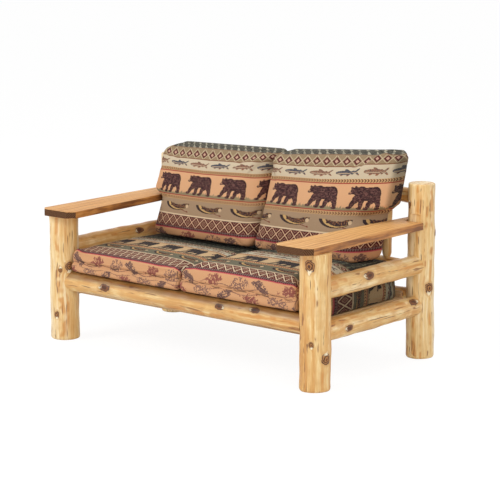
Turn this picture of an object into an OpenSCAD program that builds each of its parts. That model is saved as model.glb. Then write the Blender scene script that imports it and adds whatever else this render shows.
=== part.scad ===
// Log loveseat: four peeled-log posts, round log rails tenoned into them with
// saddle-cut shoulders, two plank arms, a slatted seat deck, a spindle back
// and four loose cushions.
// X runs across the seat, the front faces -Y, Z is up, z = 0 is the floor.
// The origin is the middle of the footprint.

/* [Frame] */
// Distance between the centres of the left and right posts
post_spread = 1468; // [1300:4:1800]
// Distance between the centres of the front and rear posts
post_depth = 754; // [720:2:840]

/* [Posts] */
// Diameter of the front posts
front_post_d = 132; // [122:2:144]
// Diameter of the rear posts at the floor
rear_post_d = 126; // [118:2:136]
// Diameter of the rear posts at their top end
rear_post_top_d = 116; // [112:1:118]
// Height of the rear posts above the centre of the top back rail
rear_post_over = 66; // [54:2:140]
// Width of the bevel round the foot and the top end of a post
post_bevel = 8; // [2:1:14]
// Height of the bevel round the foot of a post
foot_bevel_h = 12; // [4:1:24]

/* [Rails] */
// Diameter of the front and side rails at their thick end
rail_d = 92; // [80:2:100]
// Diameter of the log that joins the rear posts at seat height
rear_rail_d = 86; // [80:2:92]
// Diameter of the two back rails
back_rail_d = 70; // [60:2:80]
// How much thinner a rail is at its thin end
rail_taper = 4; // [0:1:8]
// Height of the centre of the front rail
front_rail_z = 276; // [266:2:286]
// Height of the centre of the upper side rails
upper_rail_z = 422; // [412:2:450]
// Height of the centre of the lower side rails
lower_rail_z = 238; // [200:2:250]
// Height of the centre of the rear seat rail
rear_rail_z = 262; // [258:2:272]
// Height of the centre of the lower back rail
low_back_z = 392; // [380:2:400]
// Height of the centre of the top back rail above the arms
top_back_rise = 100; // [84:2:108]
// How far the back rails lie behind the centres of the rear posts
back_rail_set = 20; // [8:1:22]

/* [Joints between logs] */
// Diameter of the round tenons on the thick rails
tenon_d = 38; // [30:1:44]
// Diameter of the round tenons on the back rails
back_tenon_d = 32; // [26:1:36]
// Length of a tenon inside its post
tenon_len = 44; // [32:1:50]
// Clearance between pieces that fit together
fit_gap = 0.3; // [0.1:0.05:0.5]

/* [Arms] */
// Height of the top of the arm planks
arm_top_z = 616; // [600:2:660]
// Thickness of the arm planks
arm_t = 32; // [26:1:40]
// Overhang of an arm in front of the front post's centre
arm_over = 105; // [90:1:130]
// Reach of an arm outward from the line through the post centres
arm_out = 48; // [36:1:60]
// Reach of an arm inward from that line at the front
arm_in_front = 152; // [140:1:156]
// Reach of an arm inward from that line at the rear
arm_in_rear = 96; // [90:1:99]
// Length of the cut across each front corner of an arm
arm_corner = 32; // [10:1:45]
// Bevel along the edges of an arm
arm_bevel = 2.5; // [1:0.5:5]
// Depth of the flats cut on a rear post where the arm is let in
arm_flat_depth = 6; // [3:0.5:10]
// How far the front flat runs up the post above the arm
arm_flat_rise = 34; // [0:1:50]

/* [Seat deck] */
// Height of the top of the seat slats
deck_z = 265; // [262:1:266]
// Width of a seat slat
slat_w = 89; // [60:1:110]
// Thickness of a seat slat
slat_t = 19; // [15:1:20]
// Thickness of the upper part of a ledger
ledger_t = 19; // [16:1:22]
// Width of the step that carries the slats
ledger_step = 19; // [15:1:25]
// Height of a ledger
ledger_h = 78; // [76:1:90]
// Depth of the flat planed on a log to seat a ledger
ledger_flat = 15; // [12:1:16]

/* [Back spindles] */
// Diameter of the spindles
spindle_d = 45; // [36:1:52]
// Diameter of the tenons on the spindles
spindle_tenon_d = 28; // [20:1:32]
// Length of a spindle tenon inside a back rail
spindle_tenon = 22; // [14:1:26]
// Distance between the centres of neighbouring spindles
spindle_pitch = 178; // [140:2:184]

/* [Cushions] */
// Space between a soft piece and what it touches
soft_gap = 0.3; // [0.2:0.05:1]
// Space between a seat cushion and the front post beside it
seat_side_gap = 4; // [1:0.5:10]
// Distance from the centre of the front rail to the front of the seat cushions
seat_lap = 44; // [36:1:60]
// Height of the top of the seat cushions at their edges
seat_top_z = 440; // [430:1:450]
// Distance from the back of the seat cushions to the centres of the rear posts
seat_back_gap = 78; // [72:1:100]
// Rise of the middle of a seat cushion above its edges
seat_crown = 16; // [6:1:22]
// Rounding of the upper edges of a seat cushion
seat_round = 34; // [20:1:45]
// How far the front of a seat cushion bulges above and below its seam
seat_bulge = 6; // [0:1:12]
// How far a seat cushion swells sideways between the posts
seat_side_swell = 8; // [0:1:12]
// Lean of the back cushions from the vertical, in degrees
lean = 18; // [12:1:20]
// Thickness of a back cushion at its edges, measured level
back_t = 198; // [160:2:210]
// Height of the top of the back cushions
back_top_z = 890; // [860:2:920]
// Space between an arm and the back cushion beside it
back_side_gap = 3; // [1:0.5:12]
// How far a back cushion swells sideways over the arm beside it
back_spread = 54; // [20:1:55]
// Height above the arm over which a back cushion swells
back_spread_h = 80; // [50:5:140]
// How far a seat cushion can be lifted with its back cushion on it
seat_lift = 120; // [60:5:130]
// Rise of the middle of a back cushion's front above its edges
back_crown = 20; // [8:1:30]
// Rounding of the lower and upper edges of a back cushion
back_round = 52; // [30:1:60]
// Rounding of the upright edges of a back cushion
back_end_round = 30; // [16:1:45]

/* [Fasteners] */
// Diameter of the dowel that pins an arm to its front post
dowel_d = 25; // [16:1:32]
// Length of that dowel inside the post
dowel_in_post = 45; // [30:1:70]
// Length of that dowel inside the arm
dowel_in_arm = 20; // [12:1:22]
// Shank diameter of the lag screw that holds an arm to its rear post
lag_d = 8; // [6:0.5:12]
// Head diameter of that lag screw
lag_head_d = 17; // [14:0.5:20]
// Head thickness of that lag screw
lag_head_t = 6; // [4:0.5:8]
// Length of the lag screw inside the post
lag_in_post = 45; // [30:1:60]
// Shank diameter of the wood screws
screw_d = 5; // [3.5:0.5:6]
// Head diameter of the wood screws
screw_head_d = 10; // [8:0.5:12]
// Length of the screws that lock the tenons
tenon_screw_len = 72; // [60:1:80]
// Length of the screws through the ledgers
ledger_screw_len = 46; // [36:1:55]
// Length of the screws through the slats
slat_screw_len = 42; // [34:1:46]

/* [Hidden] */
$fn = 64;

// Places of the logs, worked out from the driving sizes
half_spread = post_spread / 2;
footprint_depth = arm_over + post_depth + rear_post_d / 2;
front_y = arm_over - footprint_depth / 2;
rear_y = front_y + post_depth;
mid_y = (front_y + rear_y) / 2;
back_rail_y = rear_y + back_rail_set;
front_post_r = front_post_d / 2;
rear_post_r = rear_post_d / 2;
arm_under_z = arm_top_z - arm_t;
top_back_z = arm_top_z + top_back_rise;
rear_post_h = top_back_z + rear_post_over;
cut = 1;                       // overrun of a cutting solid past the face it opens
log_through = 300;             // longer than any log is thick
front_top_bevel = 2;           // bevel at the top of a front post, under the arm
rear_top_bevel = post_bevel * 0.7;

// Radius of a rear post at height z
function rear_r(z) =
    (rear_post_d + (rear_post_top_d - rear_post_d) * z / rear_post_h) / 2;

arm_flat = rear_r(arm_top_z) - arm_flat_depth;
arm_rear = rear_r(arm_top_z);
lag_head_in = 2;               // depth of the lag screw's head below the arm's edge
lag_head_room = 1.5;           // space round that head
lag_seat = arm_in_rear - arm_flat - lag_head_t - lag_head_in;

// Seat deck
ledger_rise = 27;              // height of a ledger's board above the slats
ledger_end_gap = 8;            // from a ledger's end to the post
ledger_end_room = 2;           // by which the planed flat runs past a ledger
ledger_screw_drop = 14;        // of a ledger's screws below its top
ledger_top_z = deck_z + ledger_rise;
ledger_bottom_z = ledger_top_z - ledger_h;
step_z = deck_z - slat_t;
front_flat_y = front_y + rail_d / 2 - ledger_flat;
rear_flat_y = rear_y - rear_rail_d / 2 + ledger_flat;
ledger_len = post_spread - front_post_d - 2 * ledger_end_gap;
slat_front_y = front_flat_y + ledger_t + fit_gap;
slat_rear_y = rear_flat_y - ledger_t - fit_gap;
slats_total = 10;
slat_pitch = (ledger_len - slat_w) / (slats_total - 1);
ledger_screw_gap = 2.5 * slat_pitch;
ledger_screw_x = [for (k = [-1.5:1:1.5]) k * ledger_screw_gap];
screw_sink = 2;                // depth of the screw heads below the surface
screw_room = 4;                // height of the cut that opens a screw hole

// Back spindles
spindles_total = 7;
spindle_shoulder = 2;          // step from a spindle's tenon to its end
spindle_end_h = 18;            // height over which a spindle's end narrows
spindle_swell = 1;             // by which a spindle is thicker halfway up

// Knots: [angle round the log, place along it, radius, rise above the log]
front_right_knots = [[-75, 536, 17, 4], [-10, 144, 15, 4], [-67, 204, 8, 2]];
front_left_knots = [[-156, 345, 17, 4], [-119, 330, 9, 2], [-100, 120, 12, 3], [-10, 215, 15, 4]];
rear_right_knots = [[-16, 321, 18, 4], [-120, 690, 12, 3], [35, 560, 14, 3]];
rear_left_knots = [[-30, 300, 14, 3], [60, 640, 15, 3], [20, 160, 10, 2]];
front_rail_knots = [[-98, -438, 17, 4], [-109, 246, 14, 3], [-127, 436, 14, 3]];
upper_right_knots = [[-25, -61, 18, 4], [160, 120, 12, 3]];
lower_right_knots = [[0, -203, 14, 3], [-43, 278, 16, 4]];
upper_left_knots = [[-150, 90, 15, 3], [-20, -140, 10, 2]];
lower_left_knots = [[-160, -90, 14, 3], [10, 180, 12, 3]];
rear_rail_knots = [[90, -300, 14, 3], [70, 210, 12, 3], [110, 480, 13, 3]];
low_back_knots = [[80, 130, 11, 3], [110, -420, 12, 3]];
top_back_knots = [[95, -180, 12, 3], [75, 390, 13, 3]];

// One rounded stretch of a cushion's section. Each point holds its centre, its
// radius, the angle it faces, 1 for an outer corner or -1 for an inner one, and
// the way along Y and Z in which the corner points
function corner(cy, cz, r, from, to, steps, side = 1) =
    let (middle = (from + to) / 2)
    [for (k = [0:steps]) [cy, cz, r, from + (to - from) * k / steps, side,
        side > 0 ? sign(cos(middle)) : 0, side > 0 ? sign(sin(middle)) : 0]];

// Points along a straight stretch, each with the direction it faces. The stretch
// ends before the next corner, or with last = 1 on its own end.
function straight(y0, z0, y1, z1, faces, steps, last = 0) =
    [for (k = [1:steps - 1 + last])
        [y0 + (y1 - y0) * k / steps - cos(faces), z0 + (z1 - z0) * k / steps - sin(faces),
         1, faces, 1, cos(faces), sin(faces)]];

// A point of the section, drawn in by e. A corner that is rounded by less than
// that keeps a small radius and moves in as a whole.
least_r = 0.6;
middle_stretches = 7;          // stretches of a cushion between its rounded sides
function drawn_in(p, e) =
    let (reach = max(p[2] - p[4] * e, least_r), past = max(e - p[2], 0))
    [p[0] + reach * cos(p[3]) - past * p[5], p[1] + reach * sin(p[3]) - past * p[6]];

// Stations across a cushion: [x, how far the section is drawn in there]
function stations(x0, x1, r, steps, middles) = concat(
    [for (k = [0:steps]) [x0 + r * (1 - cos(90 * k / steps)), r * (1 - sin(90 * k / steps))]],
    [for (k = [1:middles - 1]) [x0 + r + (x1 - x0 - 2 * r) * k / middles, 0]],
    [for (k = [0:steps]) [x1 - r + r * sin(90 * k / steps), r * (1 - cos(90 * k / steps))]]);

// Triangles that skin rings of n points and close both ends on a centre point
function skin(rings, n) = concat(
    [for (i = [0:rings - 2], j = [0:n - 1]) [i * n + j, (i + 1) * n + j, i * n + (j + 1) % n]],
    [for (i = [0:rings - 2], j = [0:n - 1])
        [i * n + (j + 1) % n, (i + 1) * n + j, (i + 1) * n + (j + 1) % n]],
    [for (j = [0:n - 1]) [rings * n, j, (j + 1) % n]],
    [for (j = [0:n - 1])
        [rings * n + 1, (rings - 1) * n + (j + 1) % n, (rings - 1) * n + j]]);

// Height of a smooth hump that is 1 at the middle of a stretch and 0 at its ends
function hump(v, v0, v1) = v <= v0 || v >= v1 ? 0 : sin(180 * (v - v0) / (v1 - v0));

// Seat cushion section, walked round from the front of the lip
seat_front_y = front_y - seat_lap;
seat_body_gap = 1;             // between the front ledger and the seat cushions
seat_body_y = front_flat_y + ledger_t + seat_body_gap;
seat_back_y = rear_y - seat_back_gap;
seat_lip_z = front_rail_z + rail_d / 2 + soft_gap;
seat_bottom_z = deck_z + soft_gap;
seat_out_x = half_spread - front_post_r - seat_side_gap;
seat_lip_r = 22;
seat_end_r = 14;
seat_nook_r = 8;
function seat_section() = concat(
    corner(seat_front_y + seat_lip_r, seat_lip_z + seat_lip_r, seat_lip_r, 180, 270, 3),
    corner(seat_body_y - seat_nook_r, seat_lip_z - seat_nook_r, seat_nook_r, 90, 0, 2, -1),
    corner(seat_body_y + seat_end_r, seat_bottom_z + seat_end_r, seat_end_r, 180, 270, 2),
    straight(seat_body_y, seat_bottom_z, seat_back_y, seat_bottom_z, 270, 3),
    corner(seat_back_y - seat_end_r, seat_bottom_z + seat_end_r, seat_end_r, 270, 360, 2),
    corner(seat_back_y - seat_round, seat_top_z - seat_round, seat_round, 0, 90, 3),
    straight(seat_back_y - seat_round, seat_top_z, seat_front_y + seat_round, seat_top_z, 90, 9),
    corner(seat_front_y + seat_round, seat_top_z - seat_round, seat_round, 90, 180, 4),
    straight(seat_front_y, seat_top_z - seat_round,
        seat_front_y, seat_lip_z + max(seat_lip_r, seat_round), 180, 6));

// Seat cushion on the right-hand side: crowned in front of the back cushion,
// with two rolls along its front that meet at the seam halfway up
function seat_point(p, x, e, x0) =
    let (q = drawn_in(p, e),
         across = hump(x, x0, seat_out_x),
         seam_z = (seat_lip_z + seat_top_z) / 2,
         rise = q[1] > seam_z ? seat_crown * sqrt(across * hump(q[0], seat_front_y, back_front_y)) : 0,
         roll = abs(sin(180 * (q[1] - seat_lip_z) / (seam_z - seat_lip_z))),
         bulge = q[0] < seat_front_y + seat_lip_r && q[1] > seat_lip_z ? seat_bulge * roll * across : 0,
         swell = x > seat_out_x - seat_round
             ? seat_side_swell * hump(q[0], front_y + front_post_r, rear_y - rear_post_r) : 0)
    [x + swell, q[0] - bulge, q[1] + rise];

// Back cushion: its rear face lies along the top back rail and leans with it
back_bottom_z = seat_top_z + soft_gap;
back_foot_r = 26;
function back_plane_y(z) =
    back_rail_y - (back_rail_d / 2 + soft_gap) / cos(lean) + (z - top_back_z) * tan(lean);
back_front_y = back_plane_y(seat_top_z) - back_t;

// Reach of an arm inward from the post line at depth y
function arm_in(y) = arm_in_front + (arm_in_rear - arm_in_front)
    * (y - front_y + arm_over - arm_corner) / (post_depth + arm_rear + arm_over - arm_corner);

// Half-width of the back cushions: narrow enough to pass the arms, also where
// the seat cushion is lifted first, and swelling over them above
arm_pass_y = back_plane_y(arm_top_z - seat_lift) - back_t + back_end_round;
arm_pass_x = half_spread - arm_in(arm_pass_y) - back_side_gap;
function eased(t) = t <= 0 ? 0 : t >= 1 ? 1 : t * t * (3 - 2 * t);
back_step_z = arm_top_z + soft_gap;
function back_out_x(z) = arm_pass_x + back_spread * eased((z - back_step_z) / back_spread_h);
function back_section() = concat(
    corner(back_round, back_bottom_z + back_round, back_round, 180, 270, 4),
    straight(back_round, back_bottom_z, back_t - back_foot_r, back_bottom_z, 270, 4),
    corner(back_t - back_foot_r, back_bottom_z + back_foot_r, back_foot_r, 270, 360, 3),
    straight(back_t, back_bottom_z + back_foot_r, back_t, back_step_z, 0, 4, 1),
    straight(back_t, back_step_z, back_t, back_top_z - back_round, 0, 6),
    corner(back_t - back_round, back_top_z - back_round, back_round, 0, 90, 4),
    straight(back_t - back_round, back_top_z, back_round, back_top_z, 90, 3),
    corner(back_round, back_top_z - back_round, back_round, 90, 180, 4),
    straight(0, back_top_z - back_round, 0, back_step_z, 180, 6, 1),
    straight(0, back_step_z, 0, back_bottom_z + back_round, 180, 4));

// The section lies level, measured back from the front face, and is sheared to
// the lean; its front is crowned and its top is drawn in towards the corners
function back_point(p, x, e, x0) =
    let (q = drawn_in(p, e),
         t = (x - x0) / (back_out_x(back_top_z) - x0),
         across = hump(x, x0, back_out_x(back_top_z)),
         up = hump(q[1], back_bottom_z, back_top_z),
         front = q[0] < back_round ? back_crown * sqrt(across * up) : 0,
         dip = q[1] > back_top_z - back_round ? back_crown * (1 - sqrt(across)) / 2 : 0)
    [x0 + (back_out_x(q[1]) - x0) * t, back_plane_y(q[1]) - back_t + q[0] - front, q[1] - dip];

module cushion(points, rings, n) {
    polyhedron(points = points, faces = skin(rings, n), convexity = 4);
}

module seat_cushion() {
    x0 = soft_gap / 2;
    rows = stations(x0, seat_out_x, seat_round, 4, middle_stretches);
    section = seat_section();
    heart = [(seat_body_y + seat_back_y) / 2, (seat_lip_z + seat_top_z) / 2];
    color("peru") cushion(concat(
        [for (s = rows) for (p = section) seat_point(p, s[0], s[1], x0)],
        [[x0, heart[0], heart[1]], [seat_out_x, heart[0], heart[1]]]), len(rows), len(section));
}

module back_cushion() {
    x0 = soft_gap / 2;
    rows = stations(x0, back_out_x(back_top_z), back_end_round, 4, middle_stretches);
    section = back_section();
    heart_z = back_step_z;
    heart_y = back_plane_y(heart_z) - back_t / 2;
    color("darkolivegreen") cushion(concat(
        [for (s = rows) for (p = section) back_point(p, s[0], s[1], x0)],
        [[x0, heart_y, heart_z], [back_out_x(heart_z), heart_y, heart_z]]), len(rows), len(section));
}

// A knot: the cap of a ball that stands a little proud of the log
module knot(log_r, k) {
    ball_r = (k[2] * k[2] + k[3] * k[3]) / (2 * k[3]);
    rotate([0, 0, k[0]]) translate([log_r + k[3] - ball_r, 0, k[1]]) sphere(r = ball_r);
}

// A standing log with its foot and top bevelled
module log_blank(foot_d, top_d, h, top_bevel, grow = 0) {
    r0 = foot_d / 2 + grow;
    r1 = top_d / 2 + grow;
    rotate_extrude() polygon([
        [0, 0], [r0 - post_bevel, 0], [r0, foot_bevel_h],
        [r1, h - top_bevel], [r1 - top_bevel, h], [0, h]]);
}

module front_blank(grow = 0) {
    log_blank(front_post_d, front_post_d, arm_under_z, front_top_bevel, grow);
}

module rear_blank(grow = 0) {
    log_blank(rear_post_d, rear_post_top_d, rear_post_h, rear_top_bevel, grow);
}

// Round hole towards the seat, -X of a right-hand post
module mortise_in(r, z, d, set = 0) {
    translate([-r - cut, set, z]) rotate([0, 90, 0])
        cylinder(d = d + 2 * fit_gap, h = tenon_len + cut);
}

// Round hole along the side of the seat, facing +Y (way = 1) or -Y (way = -1)
module mortise_along(r, z, way) {
    translate([0, way * (r - tenon_len), z]) rotate([-90 * way, 0, 0])
        cylinder(d = tenon_d + 2 * fit_gap, h = tenon_len + cut);
}

// A wood screw with its head at the origin and its shank running along -Z
module screw(length) {
    rotate_extrude() polygon([
        [0, 0], [screw_head_d / 2, 0], [screw_d / 2, -screw_head_d / 2],
        [screw_d / 2, screw_d - length], [0, -length]]);
}

module screw_hole(length) {
    rotate_extrude() polygon([
        [0, screw_room], [screw_head_d / 2 + fit_gap, screw_room], [screw_head_d / 2 + fit_gap, 0],
        [screw_d / 2 + fit_gap, -screw_head_d / 2], [screw_d / 2 + fit_gap, -length - cut],
        [0, -length - cut]]);
}

// Places of the tenon screws, about a right-hand post's centre line:
// each stands where the tenon is, halfway along it
module at_front_tenons() {
    along = front_post_r - tenon_len / 2;
    face = sqrt(front_post_r * front_post_r - along * along) - screw_sink;
    for (z = [upper_rail_z, lower_rail_z])
        translate([-face, along, z]) rotate([0, -90, 0]) children();
    translate([-along, face, front_rail_z]) rotate([-90, 0, 0]) children();
}

module at_rear_tenons() {
    for (z = [upper_rail_z, lower_rail_z]) {
        along = rear_r(z) - tenon_len / 2;
        face = sqrt(rear_r(z) * rear_r(z) - along * along) - screw_sink;
        translate([-face, -along, z]) rotate([0, -90, 0]) children();
    }
    for (z = [rear_rail_z, low_back_z, top_back_z]) {
        along = rear_r(z) - tenon_len / 2;
        face = sqrt(rear_r(z) * rear_r(z) - along * along) - screw_sink;
        translate([-along, face, z]) rotate([-90, 0, 0]) children();
    }
}

// Front post of the right-hand side, about its own centre line
module front_post(knots) {
    difference() {
        union() {
            front_blank();
            for (k = knots) knot(front_post_r, k);
        }
        mortise_in(front_post_r, front_rail_z, tenon_d);
        mortise_along(front_post_r, upper_rail_z, 1);
        mortise_along(front_post_r, lower_rail_z, 1);
        translate([0, 0, arm_under_z - dowel_in_post - fit_gap])
            cylinder(d = dowel_d + 2 * fit_gap, h = dowel_in_post + fit_gap + cut);
        at_front_tenons() screw_hole(tenon_screw_len);
    }
}

// The two flats on a rear post that the arm is let in against
module arm_flats() {
    translate([-log_through / 2, -arm_flat - log_through, arm_under_z])
        cube([log_through, log_through, arm_t + arm_flat_rise]);
    translate([-arm_flat - log_through, -arm_flat, arm_under_z])
        cube([log_through, log_through, arm_t + fit_gap]);
}

// Rear post of the right-hand side, about its own centre line
module rear_post(knots) {
    difference() {
        union() {
            rear_blank();
            for (k = knots) knot(rear_r(k[1]), k);
        }
        arm_flats();
        mortise_in(rear_post_r, rear_rail_z, tenon_d);
        mortise_in(rear_post_r, low_back_z, back_tenon_d, back_rail_set);
        mortise_in(rear_post_r, top_back_z, back_tenon_d, back_rail_set);
        mortise_along(rear_post_r, upper_rail_z, -1);
        mortise_along(rear_post_r, lower_rail_z, -1);
        at_rear_tenons() screw_hole(tenon_screw_len);
        translate([-arm_flat - cut, 0, arm_under_z + arm_t / 2]) rotate([0, 90, 0])
            cylinder(d = lag_d + fit_gap, h = lag_in_post + 2 * cut);
    }
}

module on_side(way, y) {
    mirror([way < 0 ? 1 : 0, 0, 0]) translate([half_spread, y, 0]) children();
}

// Arm plank of the right-hand side, notched round the rear post.
// Points run round its outline from the front of its outer edge.
module arm_outline(in) {
    front = -arm_over + in;
    shoulder = post_depth - arm_flat - fit_gap;
    rear = post_depth + arm_rear;
    polygon([
        [arm_out - arm_corner, front], [arm_out - in, front + arm_corner],
        [arm_out - in, shoulder], [-arm_flat - fit_gap, shoulder],
        [-arm_flat - fit_gap, rear], [-arm_in_rear + in, rear],
        [-arm_in_front + in, front + arm_corner], [arm_corner - arm_in_front, front]]);
}

module arm_plank() {
    difference() {
        union() {
            translate([0, 0, arm_under_z])
                linear_extrude(arm_t - arm_bevel) arm_outline(0);
            translate([0, 0, arm_under_z + arm_bevel])
                linear_extrude(arm_t - arm_bevel) arm_outline(arm_bevel);
        }
        translate([0, 0, arm_under_z - cut])
            cylinder(d = dowel_d + 2 * fit_gap, h = dowel_in_arm + fit_gap + cut);
        translate([-arm_flat + cut, post_depth, arm_under_z + arm_t / 2]) rotate([0, -90, 0]) {
            cylinder(d = lag_d + 2 * fit_gap, h = arm_in_front);
            translate([0, 0, lag_seat + cut]) cylinder(d = lag_head_d + 2 * lag_head_room, h = arm_in_front);
        }
    }
}

// A horizontal log along X between two posts, saddle-cut to fit them
module cross_rail(d, y, z, peg_d, post_r, knots) {
    reach = half_spread - post_r + tenon_len - 2 * fit_gap;
    difference() {
        translate([0, y, z]) rotate([0, 90, 0]) union() {
            translate([0, 0, -half_spread])
                cylinder(d1 = d, d2 = d - rail_taper, h = post_spread);
            for (k = knots)
                knot(d / 2 - rail_taper * (k[1] + half_spread) / post_spread / 2, k);
        }
        children();
    }
    for (way = [-1, 1])
        translate([way * (half_spread - post_r - tenon_d / 2), y, z]) rotate([0, 90 * way, 0])
            cylinder(d = peg_d, h = reach - half_spread + post_r + tenon_d / 2);
}

module both_front_posts() {
    for (way = [-1, 1]) on_side(way, front_y) front_blank(fit_gap);
}

module both_rear_posts() {
    for (way = [-1, 1]) on_side(way, rear_y) rear_blank(fit_gap);
}

// Holes that the tenon screws go on into, at both ends of a cross rail
module screw_holes_front() {
    for (way = [-1, 1]) on_side(way, front_y) at_front_tenons() screw_hole(tenon_screw_len);
}

module screw_holes_rear() {
    for (way = [-1, 1]) on_side(way, rear_y) at_rear_tenons() screw_hole(tenon_screw_len);
}

module at_front_ledger_screws() {
    for (x = ledger_screw_x)
        translate([x, front_flat_y + ledger_t - screw_sink, ledger_top_z - ledger_screw_drop])
            rotate([-90, 0, 0]) children();
}

module at_rear_ledger_screws() {
    for (x = ledger_screw_x)
        translate([x, rear_flat_y - ledger_t + screw_sink, ledger_top_z - ledger_screw_drop])
            rotate([90, 0, 0]) children();
}

module front_rail() {
    color("burlywood") difference() {
        cross_rail(rail_d, front_y, front_rail_z, tenon_d, front_post_r, front_rail_knots)
            both_front_posts();
        translate([-ledger_len / 2 - ledger_end_room, front_flat_y, front_rail_z - rail_d])
            cube([ledger_len + 2 * ledger_end_room, rail_d, 2 * rail_d]);
        at_front_ledger_screws() screw_hole(ledger_screw_len);
        screw_holes_front();
    }
}

module rear_seat_rail() {
    color("burlywood") difference() {
        cross_rail(rear_rail_d, rear_y, rear_rail_z, tenon_d, rear_post_r, rear_rail_knots)
            both_rear_posts();
        translate([-ledger_len / 2 - ledger_end_room, rear_flat_y - rail_d, rear_rail_z - rail_d])
            cube([ledger_len + 2 * ledger_end_room, rail_d, 2 * rail_d]);
        at_rear_ledger_screws() screw_hole(ledger_screw_len);
        screw_holes_rear();
    }
}

module at_spindles(z) {
    for (i = [0:spindles_total - 1])
        translate([(i - (spindles_total - 1) / 2) * spindle_pitch, back_rail_y, z]) children();
}

module lower_back_rail() {
    color("burlywood") difference() {
        cross_rail(back_rail_d, back_rail_y, low_back_z, back_tenon_d, rear_post_r, low_back_knots)
            both_rear_posts();
        at_spindles(low_back_z + back_rail_d / 2 - spindle_tenon)
            cylinder(d = spindle_tenon_d + 2 * fit_gap, h = back_rail_d);
        screw_holes_rear();
    }
}

module top_back_rail() {
    color("burlywood") difference() {
        cross_rail(back_rail_d, back_rail_y, top_back_z, back_tenon_d, rear_post_r, top_back_knots)
            both_rear_posts();
        at_spindles(top_back_z - 1.5 * back_rail_d + spindle_tenon)
            cylinder(d = spindle_tenon_d + 2 * fit_gap, h = back_rail_d);
        screw_holes_rear();
    }
}

// A log along the side of the seat, from the front post to the rear post
module side_rail(z, knots) {
    rear_end = rear_r(z);
    difference() {
        union() {
            difference() {
                translate([0, mid_y, z]) rotate([-90, 0, 0]) union() {
                    translate([0, 0, -post_depth / 2])
                        cylinder(d1 = rail_d, d2 = rail_d - rail_taper, h = post_depth);
                    for (k = knots)
                        knot(rail_d / 2 - rail_taper * (k[1] + post_depth / 2) / post_depth / 2, k);
                }
                translate([0, front_y, 0]) front_blank(fit_gap);
                translate([0, rear_y, 0]) rear_blank(fit_gap);
            }
            translate([0, front_y + front_post_r - tenon_len + 2 * fit_gap, z]) rotate([-90, 0, 0])
                cylinder(d = tenon_d, h = tenon_len + tenon_d / 2);
            translate([0, rear_y - rear_end - tenon_d / 2, z]) rotate([-90, 0, 0])
                cylinder(d = tenon_d, h = tenon_len + tenon_d / 2 - (rear_post_r - rear_end) - 2 * fit_gap);
        }
        translate([0, front_y, 0]) at_front_tenons() screw_hole(tenon_screw_len);
        translate([0, rear_y, 0]) at_rear_tenons() screw_hole(tenon_screw_len);
    }
}

// Ledger on the flat of the front rail: a board with a step that carries slats
module ledger_section() {
    polygon([
        [fit_gap / 2, ledger_bottom_z], [ledger_t + ledger_step, ledger_bottom_z],
        [ledger_t + ledger_step, step_z], [ledger_t, step_z],
        [ledger_t, ledger_top_z], [fit_gap / 2, ledger_top_z]]);
}

module ledger_board() {
    translate([-ledger_len / 2, 0, 0]) rotate([90, 0, 90])
        linear_extrude(ledger_len) ledger_section();
}

module front_ledger() {
    color("tan") difference() {
        translate([0, front_flat_y, 0]) ledger_board();
        at_front_ledger_screws() screw_hole(ledger_screw_len);
        at_slat_ends() screw_hole(slat_screw_len);
    }
}

module rear_ledger() {
    color("tan") difference() {
        translate([0, rear_flat_y, 0]) mirror([0, 1, 0]) ledger_board();
        at_rear_ledger_screws() screw_hole(ledger_screw_len);
        at_slat_ends() screw_hole(slat_screw_len);
    }
}

function slat_x(i) = (i - (slats_total - 1) / 2) * slat_pitch;

// The two screws of every slat, over the steps of the ledgers
module at_slat_ends() {
    for (i = [0:slats_total - 1], y = [slat_front_y + ledger_step / 2, slat_rear_y - ledger_step / 2])
        translate([slat_x(i), y, deck_z - screw_sink / 2]) children();
}

module seat_slat(i) {
    color("wheat") difference() {
        translate([slat_x(i) - slat_w / 2, slat_front_y, step_z])
            cube([slat_w, slat_rear_y - slat_front_y, slat_t]);
        at_slat_ends() screw_hole(slat_screw_len);
    }
}

module back_spindle(i) {
    body_z = low_back_z + back_rail_d / 2;
    span = top_back_z - low_back_z - back_rail_d;
    neck = spindle_tenon_d / 2;
    end = neck + spindle_shoulder;
    shaft = spindle_d / 2 - spindle_swell;
    color("wheat") translate([(i - (spindles_total - 1) / 2) * spindle_pitch, back_rail_y, body_z])
        rotate_extrude() polygon([
            [0, fit_gap - spindle_tenon], [neck, fit_gap - spindle_tenon], [neck, fit_gap],
            [end, fit_gap], [shaft, spindle_end_h], [spindle_d / 2, span / 2],
            [shaft, span - spindle_end_h], [end, span - fit_gap], [neck, span - fit_gap],
            [neck, span + spindle_tenon - fit_gap], [0, span + spindle_tenon - fit_gap]]);
}

module arm_dowels() {
    color("peru") for (way = [-1, 1]) on_side(way, front_y)
        translate([0, 0, arm_under_z - dowel_in_post])
            cylinder(d = dowel_d, h = dowel_in_post + dowel_in_arm);
}

module arm_lag_screws() {
    color("gray") for (way = [-1, 1]) on_side(way, rear_y)
        translate([-arm_flat - lag_seat, 0, arm_under_z + arm_t / 2]) rotate([0, 90, 0]) {
            cylinder(d = lag_d, h = lag_seat + lag_in_post);
            translate([0, 0, -lag_head_t]) cylinder(d = lag_head_d, h = lag_head_t);
        }
}

module tenon_screws() {
    color("gray") for (way = [-1, 1]) {
        on_side(way, front_y) at_front_tenons() screw(tenon_screw_len);
        on_side(way, rear_y) at_rear_tenons() screw(tenon_screw_len);
    }
}

module ledger_screws() {
    color("gray") {
        at_front_ledger_screws() screw(ledger_screw_len);
        at_rear_ledger_screws() screw(ledger_screw_len);
    }
}

module slat_screws() {
    color("gray") at_slat_ends() screw(slat_screw_len);
}

module log_post(way, y) {
    color("burlywood") on_side(way, y) children();
}

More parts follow.
